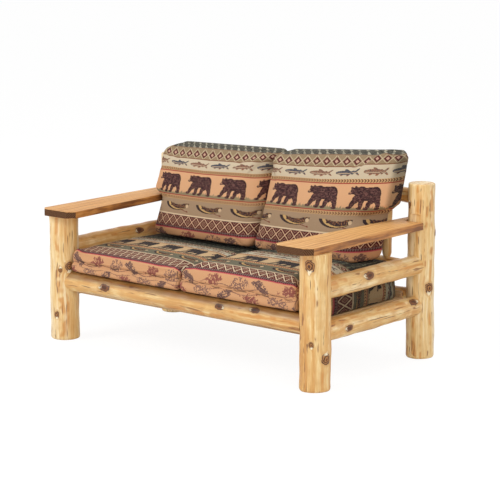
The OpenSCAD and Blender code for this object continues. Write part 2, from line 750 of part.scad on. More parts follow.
log_post(-1, front_y) front_post(front_left_knots);  // front_left_post
log_post(1, front_y) front_post(front_right_knots);  // front_right_post
log_post(-1, rear_y) rear_post(rear_left_knots);  // rear_left_post
log_post(1, rear_y) rear_post(rear_right_knots);  // rear_right_post
color("peru") on_side(-1, front_y) arm_plank();  // left_arm
color("peru") on_side(1, front_y) arm_plank();  // right_arm
log_post(-1, 0) side_rail(upper_rail_z, upper_left_knots);  // left_upper_rail
log_post(1, 0) side_rail(upper_rail_z, upper_right_knots);  // right_upper_rail
log_post(-1, 0) side_rail(lower_rail_z, lower_left_knots);  // left_lower_rail
log_post(1, 0) side_rail(lower_rail_z, lower_right_knots);  // right_lower_rail
front_rail();
rear_seat_rail();
lower_back_rail();
top_back_rail();
front_ledger();
rear_ledger();
seat_slat(0);  // seat_slat_1
seat_slat(1);  // seat_slat_2
seat_slat(2);  // seat_slat_3
seat_slat(3);  // seat_slat_4
seat_slat(4);  // seat_slat_5
seat_slat(5);  // seat_slat_6
seat_slat(6);  // seat_slat_7
seat_slat(7);  // seat_slat_8
seat_slat(8);  // seat_slat_9
seat_slat(9);  // seat_slat_10
back_spindle(0);  // back_spindle_1
back_spindle(1);  // back_spindle_2
back_spindle(2);  // back_spindle_3
back_spindle(3);  // back_spindle_4
back_spindle(4);  // back_spindle_5
back_spindle(5);  // back_spindle_6
back_spindle(6);  // back_spindle_7
arm_dowels();
arm_lag_screws();
tenon_screws();
ledger_screws();
slat_screws();
mirror([1, 0, 0]) seat_cushion();  // left_seat_cushion
seat_cushion();  // right_seat_cushion
mirror([1, 0, 0]) back_cushion();  // left_back_cushion
back_cushion();  // right_back_cushion
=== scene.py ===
import math
from functools import partialmethod

import bpy
import numpy as np
from mathutils import Matrix, Vector


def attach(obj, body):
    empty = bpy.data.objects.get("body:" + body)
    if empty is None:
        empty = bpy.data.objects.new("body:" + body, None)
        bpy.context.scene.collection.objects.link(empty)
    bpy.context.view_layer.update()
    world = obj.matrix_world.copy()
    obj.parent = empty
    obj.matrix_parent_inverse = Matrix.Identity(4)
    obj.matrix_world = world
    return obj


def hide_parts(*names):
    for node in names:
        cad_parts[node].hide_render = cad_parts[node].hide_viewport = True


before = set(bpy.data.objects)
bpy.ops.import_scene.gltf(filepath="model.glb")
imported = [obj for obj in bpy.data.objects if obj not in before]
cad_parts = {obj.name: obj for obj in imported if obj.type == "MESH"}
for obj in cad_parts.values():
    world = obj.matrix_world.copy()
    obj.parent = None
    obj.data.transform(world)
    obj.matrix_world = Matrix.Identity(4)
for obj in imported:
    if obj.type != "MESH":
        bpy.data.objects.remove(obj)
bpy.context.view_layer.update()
scene = bpy.context.scene

# VIEW AND LIGHT
# The seat stands on a pale studio floor. It is seen from its front right corner,
# from above head height, through a long lens from nine metres away.

azimuth, pitch, distance = math.radians(39.92), math.radians(10.33), 8.9925
looked_at = Vector((0.0651, 0.021, 0.5508))
away = Vector((math.sin(azimuth) * math.cos(pitch), -math.cos(azimuth) * math.cos(pitch), math.sin(pitch)))
sideways = Vector((math.cos(azimuth), math.sin(azimuth), 0))
upward = away.cross(sideways)
stand = looked_at + away * distance
long_lens = bpy.data.cameras.new("long_lens")
long_lens.lens = 144.64
long_lens.sensor_width = 36
long_lens.shift_y = -0.0421
camera = bpy.data.objects.new("viewpoint", long_lens)
camera.matrix_world = Matrix([(sideways[i], upward[i], away[i], stand[i]) for i in range(3)] + [(0, 0, 0, 1)])
scene.collection.objects.link(camera)
scene.camera = camera
scene.view_settings.view_transform = "Standard"


class Socket:
    """A socket of a shader node. Sums, products and comparisons on it add Math nodes."""

    def __init__(self, tree, socket):
        self.tree, self.socket = tree, socket

    def node(self, kind, settings=None, values=None, out=0):
        """A node of that kind: its settings are made first, then its sockets get their values or links."""
        made = self.tree.nodes.new("ShaderNode" + kind)
        for key, value in (settings or {}).items():
            if key == "stops":
                while len(made.color_ramp.elements) < len(value):
                    made.color_ramp.elements.new(1)
                for stop, (place, colour) in zip(made.color_ramp.elements, value):
                    stop.position, stop.color = place, colour
            elif key == "interpolation":
                made.color_ramp.interpolation = value
            else:
                setattr(made, key, value)
        for key, value in (values or {}).items():
            if isinstance(value, Socket):
                self.tree.links.new(value.socket, made.inputs[key])
            else:
                made.inputs[key].default_value = value
        return Socket(self.tree, made.outputs[out])

    def output(self, out):
        """Another output of the same node."""
        return Socket(self.tree, self.socket.node.outputs[out])

    def into(self, shader, name):
        """Links it to the shader's socket of that name."""
        self.tree.links.new(self.socket, shader.inputs[name])

    def math(self, how, *others):
        return self.node("Math", {"operation": how}, dict(enumerate((self,) + others)))

    def vector(self, how, *others, out=0):
        return self.node("VectorMath", {"operation": how}, dict(enumerate((self,) + others)), out)

    def oval(self, middle, half, turn=0.0):
        """Distance of this place from middle in units of the half sizes, so 1 is the oval's edge. The oval is
        turned by so many degrees about Z."""
        moved = self.node("Mapping", {"vector_type": "TEXTURE"},
                          {"Vector": self, "Location": middle, "Rotation": (0, 0, math.radians(turn)),
                           "Scale": half})
        return moved.vector("LENGTH", out=1)

    def noise(self, scale, detail, roughness=0.5, distortion=0.0, out=0):
        """Noise at this place: its value, or where out is 1 its colour."""
        return self.node("TexNoise", {}, {"Vector": self, "Scale": scale, "Detail": detail,
                                                    "Roughness": roughness, "Distortion": distortion}, out)

    def ramp(self, stops, interpolation="LINEAR"):
        return self.node("ValToRGB", {"interpolation": interpolation, "stops": stops}, {0: self})

    def paint(self, under, over, how="MIX"):
        """Colour over on colour under, as far as this mask says."""
        return self.node("Mix", {"data_type": "RGBA", "blend_type": how},
                         {0: self, 6: under, 7: over}, 2)

    def smooth(self, low, high):
        """0 below low and 1 above high, eased in between; the other way round where low is more than high."""
        ends = {1: low, 2: high, 3: 0.0, 4: 1.0} if low < high else {1: high, 2: low, 3: 1.0, 4: 0.0}
        return self.node("MapRange", {"interpolation_type": "SMOOTHSTEP"}, {0: self, **ends})

    def relief(self, strength, distance):
        """The surface's normal, bumped by this height times distance."""
        return self.node("Bump", {}, {"Strength": strength, "Distance": distance, "Height": self})

    __add__ = partialmethod(math, "ADD")
    __sub__ = partialmethod(math, "SUBTRACT")
    __mul__ = partialmethod(math, "MULTIPLY")
    __truediv__ = partialmethod(math, "DIVIDE")
    __mod__ = partialmethod(math, "FLOORED_MODULO")
    __lt__ = partialmethod(math, "LESS_THAN")
    __gt__ = partialmethod(math, "GREATER_THAN")


def new_finish(name, fixed=None):
    """A material with its fixed values, a first socket to build it from, and its Principled shader."""
    finish = bpy.data.materials.new(name)
    finish.use_nodes = True
    tree = finish.node_tree
    shader = tree.nodes["Principled BSDF"]
    for key, value in (fixed or {}).items():
        shader.inputs[key].default_value = value
    place = Socket(tree, tree.nodes.new("ShaderNodeTexCoord").outputs["Object"])
    return finish, place, shader


studio = bpy.data.worlds.new("studio")
scene.world = studio
studio.use_nodes = True
sky = studio.node_tree.nodes["Background"]
rays = Socket(studio.node_tree, studio.node_tree.nodes.new("ShaderNodeLightPath").outputs["Is Camera Ray"])
seen = rays.math("MAXIMUM", rays.output("Is Glossy Ray")).math("MAXIMUM", rays.output("Is Transmission Ray"))
(seen * 0.44 + 0.56).into(sky, "Strength")
sky.inputs["Color"].default_value = (1, 1, 1, 1)

seat_middle = Vector((0, 0, 0.4))
for name, spot, power, size in (("key_panel", (-3.2, -5.6, 4.6), 220, 3.0),
                                ("fill_panel", (5.5, -3.4, 3.2), 130, 3.4),
                                ("top_panel", (0.4, 1.2, 5.2), 70, 3.6)):
    panel = bpy.data.lights.new(name, "AREA")
    panel.energy, panel.size = power, size
    lamp = bpy.data.objects.new(name, panel)
    aim = Vector(spot) - seat_middle
    lamp.matrix_world = Matrix.Translation(spot) @ aim.to_track_quat("Z", "Y").to_matrix().to_4x4()
    scene.collection.objects.link(lamp)

floor_reach = 90
floor_mesh = bpy.data.meshes.new("studio_floor")
floor_mesh.from_pydata([(-floor_reach, -floor_reach, 0), (floor_reach, -floor_reach, 0),
                        (floor_reach, floor_reach, 0), (-floor_reach, floor_reach, 0)], [], [(0, 1, 2, 3)])
studio_floor = bpy.data.objects.new("studio_floor", floor_mesh)
scene.collection.objects.link(studio_floor)
floor_finish, place, shader = new_finish("pale_floor", {"Base Color": (0.93, 0.93, 0.92, 1),
                                                        "Roughness": 0.9})
glow = place.node("Emission", {}, {"Color": (1, 1, 1, 1), "Strength": 1.06})
first_sight = place.node("LightPath") * 0.86
lit = Socket(place.tree, shader.outputs[0])
both = first_sight.node("MixShader", {}, {0: first_sight, 1: lit, 2: glow})
place.tree.links.new(both.socket, place.tree.nodes["Material Output"].inputs[0])
floor_mesh.materials.append(floor_finish)

# POSTS
# Four standing logs of peeled softwood carry everything. Each is dressed with a
# drawknife, which leaves it slightly uneven, with trimmed knots standing proud,
# and its foot is bevelled. The rear posts are notched on two sides for the arms.

half_spread, front_y, rear_y = 0.734, -0.356, 0.398
front_post_r, rear_foot_r, rear_top_r = 0.066, 0.063, 0.058
arm_low, arm_high, rear_post_top = 0.584, 0.616, 0.782
rear_notch = {"low": arm_low, "inner": arm_high + 0.0003, "high": 0.650, "flat": 0.05306}


def skin_faces(rows, around):
    """Quads between rows of points that close on themselves, and a fan over each end's middle point."""
    i, j = np.meshgrid(np.arange(rows - 1), np.arange(around), indexing="ij")
    k = (j + 1) % around
    sides = np.stack([i * around + j, i * around + k, (i + 1) * around + k, (i + 1) * around + j], -1)
    j = np.arange(around)
    k = (j + 1) % around
    last = (rows - 1) * around
    low = np.stack([k, j, np.full(around, rows * around)], -1)
    high = np.stack([last + j, last + k, np.full(around, rows * around + 1)], -1)
    return sides.reshape(-1, 4).tolist() + low.tolist() + high.tolist()


def piece_from(name, points, faces, smooth_angle):
    """A piece in the scene, shaded smooth except over edges sharper than that angle."""
    mesh = bpy.data.meshes.new(name)
    mesh.from_pydata(points.tolist(), [], faces)
    mesh.shade_smooth()
    mesh.set_sharp_from_angle(angle=math.radians(smooth_angle))
    piece = bpy.data.objects.new(name, mesh)
    scene.collection.objects.link(piece)
    return piece


def closed_skin(name, rings, smooth_angle=40):
    """A closed piece from rings of points, rows x around x 3, whose ends close on their middles."""
    rows, around = rings.shape[:2]
    points = np.concatenate([rings.reshape(-1, 3), rings[0].mean(0)[None], rings[-1].mean(0)[None]])
    return piece_from(name, points, skin_faces(rows, around), smooth_angle)


def dressed_radius(radius, along, angle, knots, seed):
    """Radius of a peeled log: its plain radius, plus long waves, plus knife facets, plus at each knot
    a rounded boss with a shallow dish in it. knots holds (angle, place along, radius, rise)."""
    phase = np.random.default_rng(seed).uniform(0, 6.28, 8)
    wave = (0.0011 * np.sin(along * 14 + phase[0] + angle)
            + 0.0008 * np.sin(along * 31 + phase[1] - 2 * angle)
            + 0.0007 * np.sin(3 * angle + phase[2] + along * 5)
            + 0.0005 * np.sin(along * 67 + phase[3] + 3 * angle)
            + 0.0004 * np.cos(9 * angle + 2 * np.sin(along * 9 + phase[4])))
    for turn, spot, size, rise in knots:
        across = radius * ((angle - turn + math.pi) % (2 * math.pi) - math.pi)
        far = np.sqrt((across / size) ** 2 + ((along - spot) / (size * 1.35)) ** 2)
        wave = wave + rise * (np.exp(-(far / 0.95) ** 2) - 0.32 * np.exp(-(far / 0.42) ** 2))
    return radius + wave


def post(name, x, y, foot_r, top_r, height, knots, seed, notch=None):
    """A standing log. Its rings run up the log, with a quarter-round at the foot and the top. Knots are in
    degrees and millimetres, for a right-hand post, and are turned over for a left-hand one. notch cuts the
    two flats of a rear post. Returns the piece and its knots as (x, y, z, radius)."""
    side = 1 if x > 0 else -1
    foot_rise, foot_bevel, top_bevel, sunk = 0.012, 0.008, 0.006, 0.002
    angle = np.linspace(0, 2 * math.pi, 96, endpoint=False)
    turned = [(math.radians(a if side > 0 else 180 - a), z / 1000, r / 1000, h / 1000)
              for a, z, r, h in knots]
    body = np.linspace(foot_rise, height - top_bevel, int(height / 0.0055))
    if notch:
        steps = [notch["low"], notch["inner"], notch["high"]]
        body = np.sort(np.concatenate([body, [z - 0.0002 for z in steps], [z + 0.0002 for z in steps]]))
    quarter = np.linspace(0, math.pi / 2, 5)[:-1]
    rise = 1 - np.cos(quarter)
    z = np.concatenate([foot_rise * rise, body, height - top_bevel * rise[::-1]])
    run = 1 - np.sin(quarter)
    inset = np.concatenate([foot_bevel * run, np.zeros(len(body)), top_bevel * run[::-1]])
    z_grid, a_grid = np.meshgrid(z, angle, indexing="ij")
    plain = foot_r + (top_r - foot_r) * z_grid / height
    r = dressed_radius(plain, z_grid, a_grid, turned, seed) - inset[:, None]
    px, py = r * np.cos(a_grid), r * np.sin(a_grid)
    if notch:
        front = (z_grid > notch["low"]) & (z_grid < notch["high"])
        inner = (z_grid > notch["low"]) & (z_grid < notch["inner"])
        py = np.where(front, np.maximum(py, -notch["flat"]), py)
        px = np.where(inner, side * np.maximum(side * px, -notch["flat"]), px)
    rings = np.stack([px + x, py + y, z_grid], -1)
    shrink = np.array([0.75, 0.5, 0.25])[:, None, None]
    foot, top = np.array([x, y, 0]), np.array([x, y, height])
    low_disc, high_disc = foot + (rings[0] - foot) * shrink, top + (rings[-1] - top) * shrink
    piece = closed_skin(name, np.concatenate([low_disc[::-1], rings, high_disc]))
    marks = [(x + (foot_r - sunk) * math.cos(a), y + (foot_r - sunk) * math.sin(a), z, size)
             for a, z, size, _ in turned]
    return piece, marks


def peeled_finish(name, along, marks, checks=(), tint=0.5, seed=0.0, painted_shade_above=9.0, painted_light_shift=0.0):
    """Peeled softwood under clear varnish. along is the axis that the grain follows. marks are the knots, as
    (x, y, z, radius): on a standing log an eye of brown rings, on a rail a dark stub, each with a painted
    highlight beside it. checks are drying cracks, as (x, y, z, half length). Streaks are noise stretched
    along the log. Above the given height, a painted shadow of the cushions darkens it. The last argument
    moves the log towards its light streaks: painted light, and painted shade where it is negative."""
    finish, place, shader = new_finish(name, {"Coat Weight": 0.12, "Coat Roughness": 0.3})
    upright = along == 2
    stretch = [1.0, 1.0, 1.0]
    stretch[along] = 0.045
    knot_far, highlight_far = place.node("Value"), place.node("Value")
    knot_far.socket.default_value = highlight_far.socket.default_value = 9.0
    for number, (x, y, z, size) in enumerate(marks):
        reach = [size * (1.0 if upright else 0.85)] * 3
        reach[along] = size * (1.25 if upright else 1.75)
        beside = [x, y, z]
        beside[along] += size * (1.05 if number % 2 else -1.05)
        knot_far = knot_far.math("MINIMUM", place.oval((x, y, z), reach))
        highlight_far = highlight_far.math("MINIMUM", place.oval(beside, reach))
    bend = place.noise(9.0, 2.0, out=1).vector("SUBTRACT", (0.5, 0.5, 0.5))
    bend = bend.node("VectorMath", {"operation": "SCALE"},
                     {0: bend, "Scale": knot_far.smooth(3.2, 0.8) * 0.03 + 0.012})
    grain_at = place.vector("ADD", bend).vector("MULTIPLY", stretch)
    grain_at = grain_at.vector("ADD", (seed, seed * 0.7, seed * 1.3))
    fibre = grain_at.noise(190.0, 5.0, 0.6)
    streak = grain_at.noise(42.0, 4.0, 0.62)
    # A shift towards the light streaks is painted light; a negative shift, on the front rail, is painted
    # shade.
    shade = streak * 0.62 + grain_at.noise(11.0, 2.0) * 0.38 - painted_light_shift
    wood = shade.ramp([(0.36, (0.92, 0.75, 0.46, 1)), (0.45, (0.83, 0.60, 0.28, 1)),
                       (0.52, (0.76, 0.47, 0.17, 1)), (0.59, (0.63, 0.31, 0.08, 1)),
                       (0.70, (0.38, 0.14, 0.03, 1))])
    wood = (place.noise(16.0, 3.0).smooth(0.38, 0.66) * tint).paint(wood, (0.66, 0.34, 0.10, 1))
    wood = (fibre.smooth(0.42, 0.7) * 0.36).paint(wood, (0.50, 0.25, 0.07, 1))
    wood = (fibre.smooth(0.45, 0.3) * 0.26).paint(wood, (0.94, 0.80, 0.52, 1))
    tick_at = grain_at.vector("ADD", (3.1, 1.7, 2.3))
    sparse = place.noise(17.0, 1.0).smooth(0.42, 0.55)
    for size, low, high, strength, colour in ((40.0, 0.55, 0.64, 0.75, (0.60, 0.25, 0.05, 1)),
                                              (120.0, 0.60, 0.68, 0.85, (0.27, 0.10, 0.025, 1))):
        tick = tick_at.noise(size, 1.5).smooth(low, high)
        wood = (tick * sparse * strength).paint(wood, colour)
    ripple = place.noise(55.0, 3.0) * 0.9
    ragged = knot_far + ripple - 0.45
    umber, rust, amber = (0.080, 0.026, 0.008, 1), (0.19, 0.062, 0.016, 1), (0.50, 0.23, 0.06, 1)
    if upright:
        rings = ((0.0, umber), (0.20, umber), (0.28, rust), (0.38, amber), (0.46, rust), (0.52, umber),
                 (0.60, umber), (0.68, amber), (0.76, rust), (0.82, umber), (0.93, umber))
    else:
        rings = ((0.0, umber), (0.42, umber), (0.56, rust), (0.72, rust), (0.84, umber))
    wood = ragged.smooth(1.9, 1.1).paint(wood, (0.60, 0.33, 0.11, 1))
    wood = ragged.smooth(1.18, 1.05).paint(wood, (ragged / 1.2).ramp(rings))
    # Painted highlight: a pale patch on one side of each knot, where light would catch its raised boss.
    pale = (highlight_far + ripple * 1.6 - 0.70).smooth(0.72, 0.38) * ragged.smooth(0.66, 0.85)
    wood = (pale * 0.85).paint(wood, (0.96, 0.84, 0.58, 1))
    height = place.node("SeparateXYZ", {}, {0: place}, 2)
    # Painted shadow: above the given height, under the cushions, the wood is darkened as if shaded by them.
    wood = (height.smooth(painted_shade_above, painted_shade_above + 0.022) * 0.9).paint(wood, (0.36, 0.29, 0.20, 1), "MULTIPLY")
    for x, y, z, half in checks:
        reach = [0.0016, 0.0016, 0.0016]
        reach[along] = half
        crack = place.vector("ADD", bend).oval((x, y, z), reach).smooth(1.5, 0.7)
        wood = crack.paint(wood, (0.17, 0.07, 0.025, 1))
    wood.into(shader, "Base Color")
    (fibre * 0.16 + ragged.smooth(1.1, 0.7) * 0.3 + 0.36).into(shader, "Roughness")
    (fibre + streak * 0.8 - ragged.smooth(1.0, 0.6) * 1.5).relief(0.32, 0.0012).into(shader, "Normal")
    return finish


post_table = (
    ("front_left_post", -half_spread, front_y, front_post_r, front_post_r, arm_low,
     [(-156, 345, 17, 4), (-119, 330, 9, 2), (-100, 120, 12, 3), (-10, 215, 15, 4)], 11,
     [(-0.7167, -0.4197, 0.345, 0.022), (-0.7143, -0.419, 0.237, 0.016), (-0.733, -0.422, 0.013, 0.030)]),
    ("front_right_post", half_spread, front_y, front_post_r, front_post_r, arm_low,
     [(-75, 536, 20, 4), (-10, 144, 19, 4), (-67, 204, 10, 2)], 23,
     [(0.7444, -0.4212, 0.195, 0.055), (0.7517, -0.4196, 0.121, 0.016), (0.7409, -0.4216, 0.012, 0.028),
      (0.757, -0.418, 0.470, 0.030)]),
    ("rear_left_post", -half_spread, rear_y, rear_foot_r, rear_top_r, rear_post_top,
     [(-30, 300, 14, 3), (60, 640, 15, 3), (20, 160, 10, 2)], 37, [(-0.70, 0.342, 0.20, 0.04)]),
    ("rear_right_post", half_spread, rear_y, rear_foot_r, rear_top_r, rear_post_top,
     [(-16, 321, 18, 4), (-120, 690, 12, 3), (35, 560, 14, 3)], 41,
     [(0.7337, 0.337, 0.302, 0.026), (0.7687, 0.348, 0.458, 0.020), (0.7243, 0.3365, 0.035, 0.034),
      (0.7893, 0.3748, 0.664, 0.014), (0.7348, 0.338, 0.700, 0.016)]),
)
for name, x, y, foot_r, top_r, height, knots, seed, checks in post_table:
    # The rear posts and the left post are paler copies with fewer orange blotches: painted light, as the
    # lamps light them less.
    notch, painted_light_shift = (rear_notch, 0.095) if y > 0 else (None, 0.075 if x < 0 else 0.0)
    standing, marks = post(name + "_log", x, y, foot_r, top_r, height, knots, seed, notch)
    finish = peeled_finish(name + "_finish", 2, marks, checks, 0.5 - 4 * painted_light_shift, seed * 0.37, painted_light_shift=painted_light_shift)
    standing.data.materials.append(finish)
    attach(standing, "frame")
    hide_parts(name)

# RAILS
# Round peeled logs between the posts: one along the front, two along each side, one
# at seat height behind and two up the back. Each end is saddle-cut to lie against
# the post's round side and goes on into the post as a round tenon.

front_rail_z, rear_rail_z, low_back_z, top_back_z = 0.276, 0.262, 0.392, 0.716
back_y = rear_y + 0.020
tenon_depth = 0.043


def rail(name, axis, middle, side_at, thick_r, thin_r, peg_r, ends, knots, seed, planed=None):
    """A log along X (axis 0) or Y (axis 1). A point's place along it runs evenly from one saddle to the
    other. A saddle lies where the ray at that angle and radius meets the post, sqrt(R^2 - offset^2) from
    the post's line. The end rings follow that curve inwards to the tenon, then run out along it. ends holds
    for each end the post's place along the log, its radius there, and how far the log lies beside the
    post's centre line. planed is where a flat for a ledger lies, beside the log's own line."""
    around, bitten, sunk, clear = 72, 0.001, 0.002, 0.07
    angle = np.linspace(0, 2 * math.pi, around, endpoint=False)
    wide, deep = (np.sin, np.cos) if axis == 0 else (np.cos, np.sin)
    turned = [(math.radians(a), k / 1000 + middle, r / 1000, h / 1000) for a, k, r, h in knots]
    (low, low_r, low_off), (high, high_r, high_off) = ends
    rows = int((high - low) / 0.0065)

    def saddle(radius, end):
        at, post_r, off = (low, low_r, low_off) if end == 0 else (high, high_r, high_off)
        beside = off + radius * wide(angle)
        bite = np.sqrt(np.maximum(post_r ** 2 - beside ** 2, 1e-8)) - bitten
        return at + bite if end == 0 else at - bite

    def joined(end, ring, rings):
        return np.concatenate([ring, rings] if end == 0 else [rings, ring])

    def placed(k, across, z):
        return (k, across, z) if axis == 0 else (across, k, z)

    share = np.linspace(0, 1, rows)[:, None]
    a_grid = np.broadcast_to(angle, (rows, around))
    plain = np.broadcast_to(thick_r + (thin_r - thick_r) * share, (rows, around))
    along = saddle(plain[0], 0) + share * (saddle(plain[-1], 1) - saddle(plain[0], 0))
    radius = dressed_radius(plain, along, a_grid, turned, seed)
    for end, spot in ((0, 0), (1, rows - 1)):
        for inner in np.linspace(0.9, 0, 5):
            r = peg_r + (plain[spot] - peg_r) * inner
            radius, along = joined(end, r[None], radius), joined(end, saddle(r, end)[None], along)
        reach = low + low_r - tenon_depth if end == 0 else high - high_r + tenon_depth
        for r in (peg_r, peg_r * 0.5):
            radius = joined(end, np.full((1, around), r), radius)
            along = joined(end, np.full((1, around), reach), along)
    across, height = radius * wide(angle), -radius * deep(angle)
    if planed:
        between = (along > low + clear) & (along < high - clear)
        flat = np.minimum(across, planed) if planed > 0 else np.maximum(across, planed)
        across = np.where(between, flat, across)
    beside, level = side_at
    rings = np.stack(placed(along, across + beside, height + level), -1)
    marks = []
    for a, k, size, _ in turned:
        r = thick_r + (thin_r - thick_r) * (k - low) / (high - low) - sunk
        marks.append((*placed(k, beside + r * wide(a), level - r * deep(a)), size))
    return closed_skin(name, rings, 50), marks


def post_end(x_or_y, z, off=0.0, rear=True):
    """Where a rail meets a post: the post's centre, its radius at height z, and the rail's offset from it."""
    rear_r = rear_foot_r - (rear_foot_r - rear_top_r) * z / rear_post_top
    return x_or_y, (rear_r if rear else front_post_r), off


def both_ends(z, off=0.0, rear=True):
    """The two posts that a rail across the seat runs between."""
    return post_end(-half_spread, z, off, rear), post_end(half_spread, z, off, rear)


rail_table = [
    ("front_rail", 0, 0.0, (front_y, front_rail_z), 0.046, 0.044, 0.019, both_ends(front_rail_z, rear=False),
     [(-98, -438, 17, 4), (-109, 246, 14, 3), (-127, 436, 14, 3)], 51, 0.031,
     [(-0.549, -0.4009, 0.2726, 0.030), (0.10, -0.4010, 0.262, 0.028), (-0.15, -0.4005, 0.290, 0.034)]),
    ("rear_seat_rail", 0, 0.0, (rear_y, rear_rail_z), 0.043, 0.041, 0.019, both_ends(rear_rail_z),
     [(90, -300, 14, 3), (70, 210, 12, 3), (110, 480, 13, 3)], 53, -0.028, [(0.05, 0.4395, 0.27, 0.05)]),
    ("lower_back_rail", 0, 0.0, (back_y, low_back_z), 0.035, 0.033, 0.016, both_ends(low_back_z, 0.020),
     [(80, 130, 11, 3), (110, -420, 12, 3)], 57, None, []),
    ("top_back_rail", 0, 0.0, (back_y, top_back_z), 0.035, 0.033, 0.016, both_ends(top_back_z, 0.020),
     [(95, -180, 12, 3), (75, 390, 13, 3)], 59, None, [(0.12, 0.4515, 0.72, 0.045)]),
]
side_knots = {
    "right_upper_rail": (
        [(-25, -61, 18, 4), (160, 120, 12, 3)],
        [(0.7755, 0.06, 0.436, 0.050), (0.7682, -0.13, 0.394, 0.03), (0.7765, 0.155, 0.433, 0.045)]),
    "right_lower_rail": (
        [(0, -203, 14, 3), (-43, 278, 16, 4)], [(0.7789, 0.03, 0.2450, 0.075), (0.7785, 0.11, 0.236, 0.05)]),
    "left_upper_rail": ([(-150, 90, 15, 3), (-20, -140, 10, 2)], [(-0.700, 0.02, 0.45, 0.05)]),
    "left_lower_rail": ([(-160, -90, 14, 3), (10, 180, 12, 3)], [(-0.779, 0.02, 0.24, 0.05)]),
}
for order, (name, (knots, checks)) in enumerate(side_knots.items()):
    x, z = (half_spread if "right" in name else -half_spread), (0.422 if "upper" in name else 0.238)
    knots = [(a if x > 0 else 180 - a, k, r, h) for a, k, r, h in knots]
    ends, seed = (post_end(front_y, z, 0, False), post_end(rear_y, z)), 61 + 4 * order
    rail_table.append((name, 1, 0.021, (x, z), 0.046, 0.044, 0.019, ends, knots, seed, None, checks))
for name, axis, *form, seed, planed, checks in rail_table:
    lying, marks = rail(name + "_log", axis, *form, seed, planed)
    # The front rail gets the painted shadow of the cushions along its top and is a darker copy as painted
    # shade.
    painted_shade_above, painted_light_shift = (0.283, -0.02) if name == "front_rail" else (9.0, 0.01)
    finish = peeled_finish(name + "_finish", axis, marks, checks, 0.75, seed * 0.29, painted_shade_above, painted_light_shift)
    lying.data.materials.append(finish)
    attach(lying, "frame")
    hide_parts(name)

# BACK SPINDLES
# Seven peeled sticks stand between the two back rails. Their ends narrow to round
# tenons that sit in holes bored in the rails.


def spindle(name, x, seed):
    """A stick turned about its own axis: the tenon's radius, then a curve that swells to the shaft in 18 mm,
    a slight belly halfway up, and the same at the top."""
    low, high, peg_r = 0.427, 0.681, 0.014
    end = np.concatenate([[-0.0217, 0.0003], np.linspace(0.0005, 0.018, 8)])
    z = np.concatenate([low + end, np.linspace(low + 0.022, high - 0.022, 42), high - end[::-1]])
    up = (z - low) / (high - low)
    shaft = 0.016 + 0.0055 * np.clip(np.minimum(up, 1 - up) / 0.07, 0, 1) ** 0.6
    shaft = shaft + 0.001 * np.sin(np.clip(up, 0, 1) * math.pi)
    shaft = np.where((z < low + 0.0004) | (z > high - 0.0004), peg_r, shaft)[:, None]
    angle = np.linspace(0, 2 * math.pi, 40, endpoint=False)
    z_grid, a_grid = np.meshgrid(z, angle, indexing="ij")
    radius = np.where(shaft > peg_r, dressed_radius(shaft, z_grid, a_grid, [], seed) - 0.0012, peg_r)
    rings = np.stack([x + radius * np.cos(a_grid), back_y + radius * np.sin(a_grid), z_grid], -1)
    return closed_skin(name, rings)


spindle_pitch = 0.178
for number in range(7):
    x = (number - 3) * spindle_pitch
    stick = spindle(f"spindle_{number + 1}_stick", x, 80 + number)
    marks = [(x + 0.012 * math.cos(number), back_y + 0.0205, 0.48 + 0.024 * number, 0.006)]
    finish = peeled_finish(f"spindle_{number + 1}_finish", 2, marks, (), 0.3, number * 1.9)
    stick.data.materials.append(finish)
    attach(stick, "frame")
    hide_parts(f"back_spindle_{number + 1}")

# ARMS
# Each arm is one sanded plank of the same wood, wider at the front, with its front
# corners sawn off. It lies on the front post, pinned by a hidden dowel, and its rear
# end is let in round the rear post, where a lag screw draws it tight.


def arm_plank(name, side):
    """The outline, measured from the front post's centre, is moved in along the mitre of each two edges by
    a quarter-circle profile at the lower and upper edges, so the plank has rounded arrises. Its edges wander
    by less than half a millimetre."""
    tip, sawn, notch_x, notch_y, heel = -0.105, -0.073, -0.05336, 0.70064, 0.81306
    outline = np.array([(0.016, tip), (0.048, sawn), (0.048, notch_y), (notch_x, notch_y), (notch_x, heel),
                        (-0.096, heel), (-0.152, sawn), (-0.120, tip)])
    spans = np.roll(outline, -1, 0) - outline
    steps = np.maximum((np.linalg.norm(spans, axis=1) / 0.012).astype(int), 1)
    points = np.concatenate([p + s * np.arange(n)[:, None] / n for p, s, n in zip(outline, spans, steps)])
    edge = np.roll(points, -1, 0) - points
    edge = edge / np.linalg.norm(edge, axis=1)[:, None]
    normal = np.stack([edge[:, 1], -edge[:, 0]], -1)
    before = np.roll(normal, 1, 0)
    mitre = (normal + before) / (1 + (normal * before).sum(1))[:, None]
    quarter = np.linspace(0, math.pi / 2, 5)
    round_r = 0.0035
    inset = round_r * np.concatenate([1 - np.sin(quarter), (1 - np.sin(quarter))[::-1]])
    rise = round_r * (1 - np.cos(quarter))
    z = np.concatenate([arm_low + rise, arm_high - rise[::-1]])
    uneven = 0.0004 * np.sin(points[:, 1] * 37 + side) + 0.0003 * np.sin(points[:, 1] * 83)
    flat = points[None] - mitre[None] * (inset[:, None, None] + uneven[None, :, None] ** 2 * 600)
    rings = np.stack([side * (half_spread + flat[..., 0]), front_y + flat[..., 1],
                      np.broadcast_to(z[:, None], flat.shape[:2])], -1)
    rows, around = rings.shape[:2]
    sides = skin_faces(rows, around)[:(rows - 1) * around]
    faces = sides + [list(range(around))[::-1], list(range((rows - 1) * around, rows * around))]
    return piece_from(name, rings.reshape(-1, 3), [f[::-1] for f in faces] if side < 0 else faces, 30)


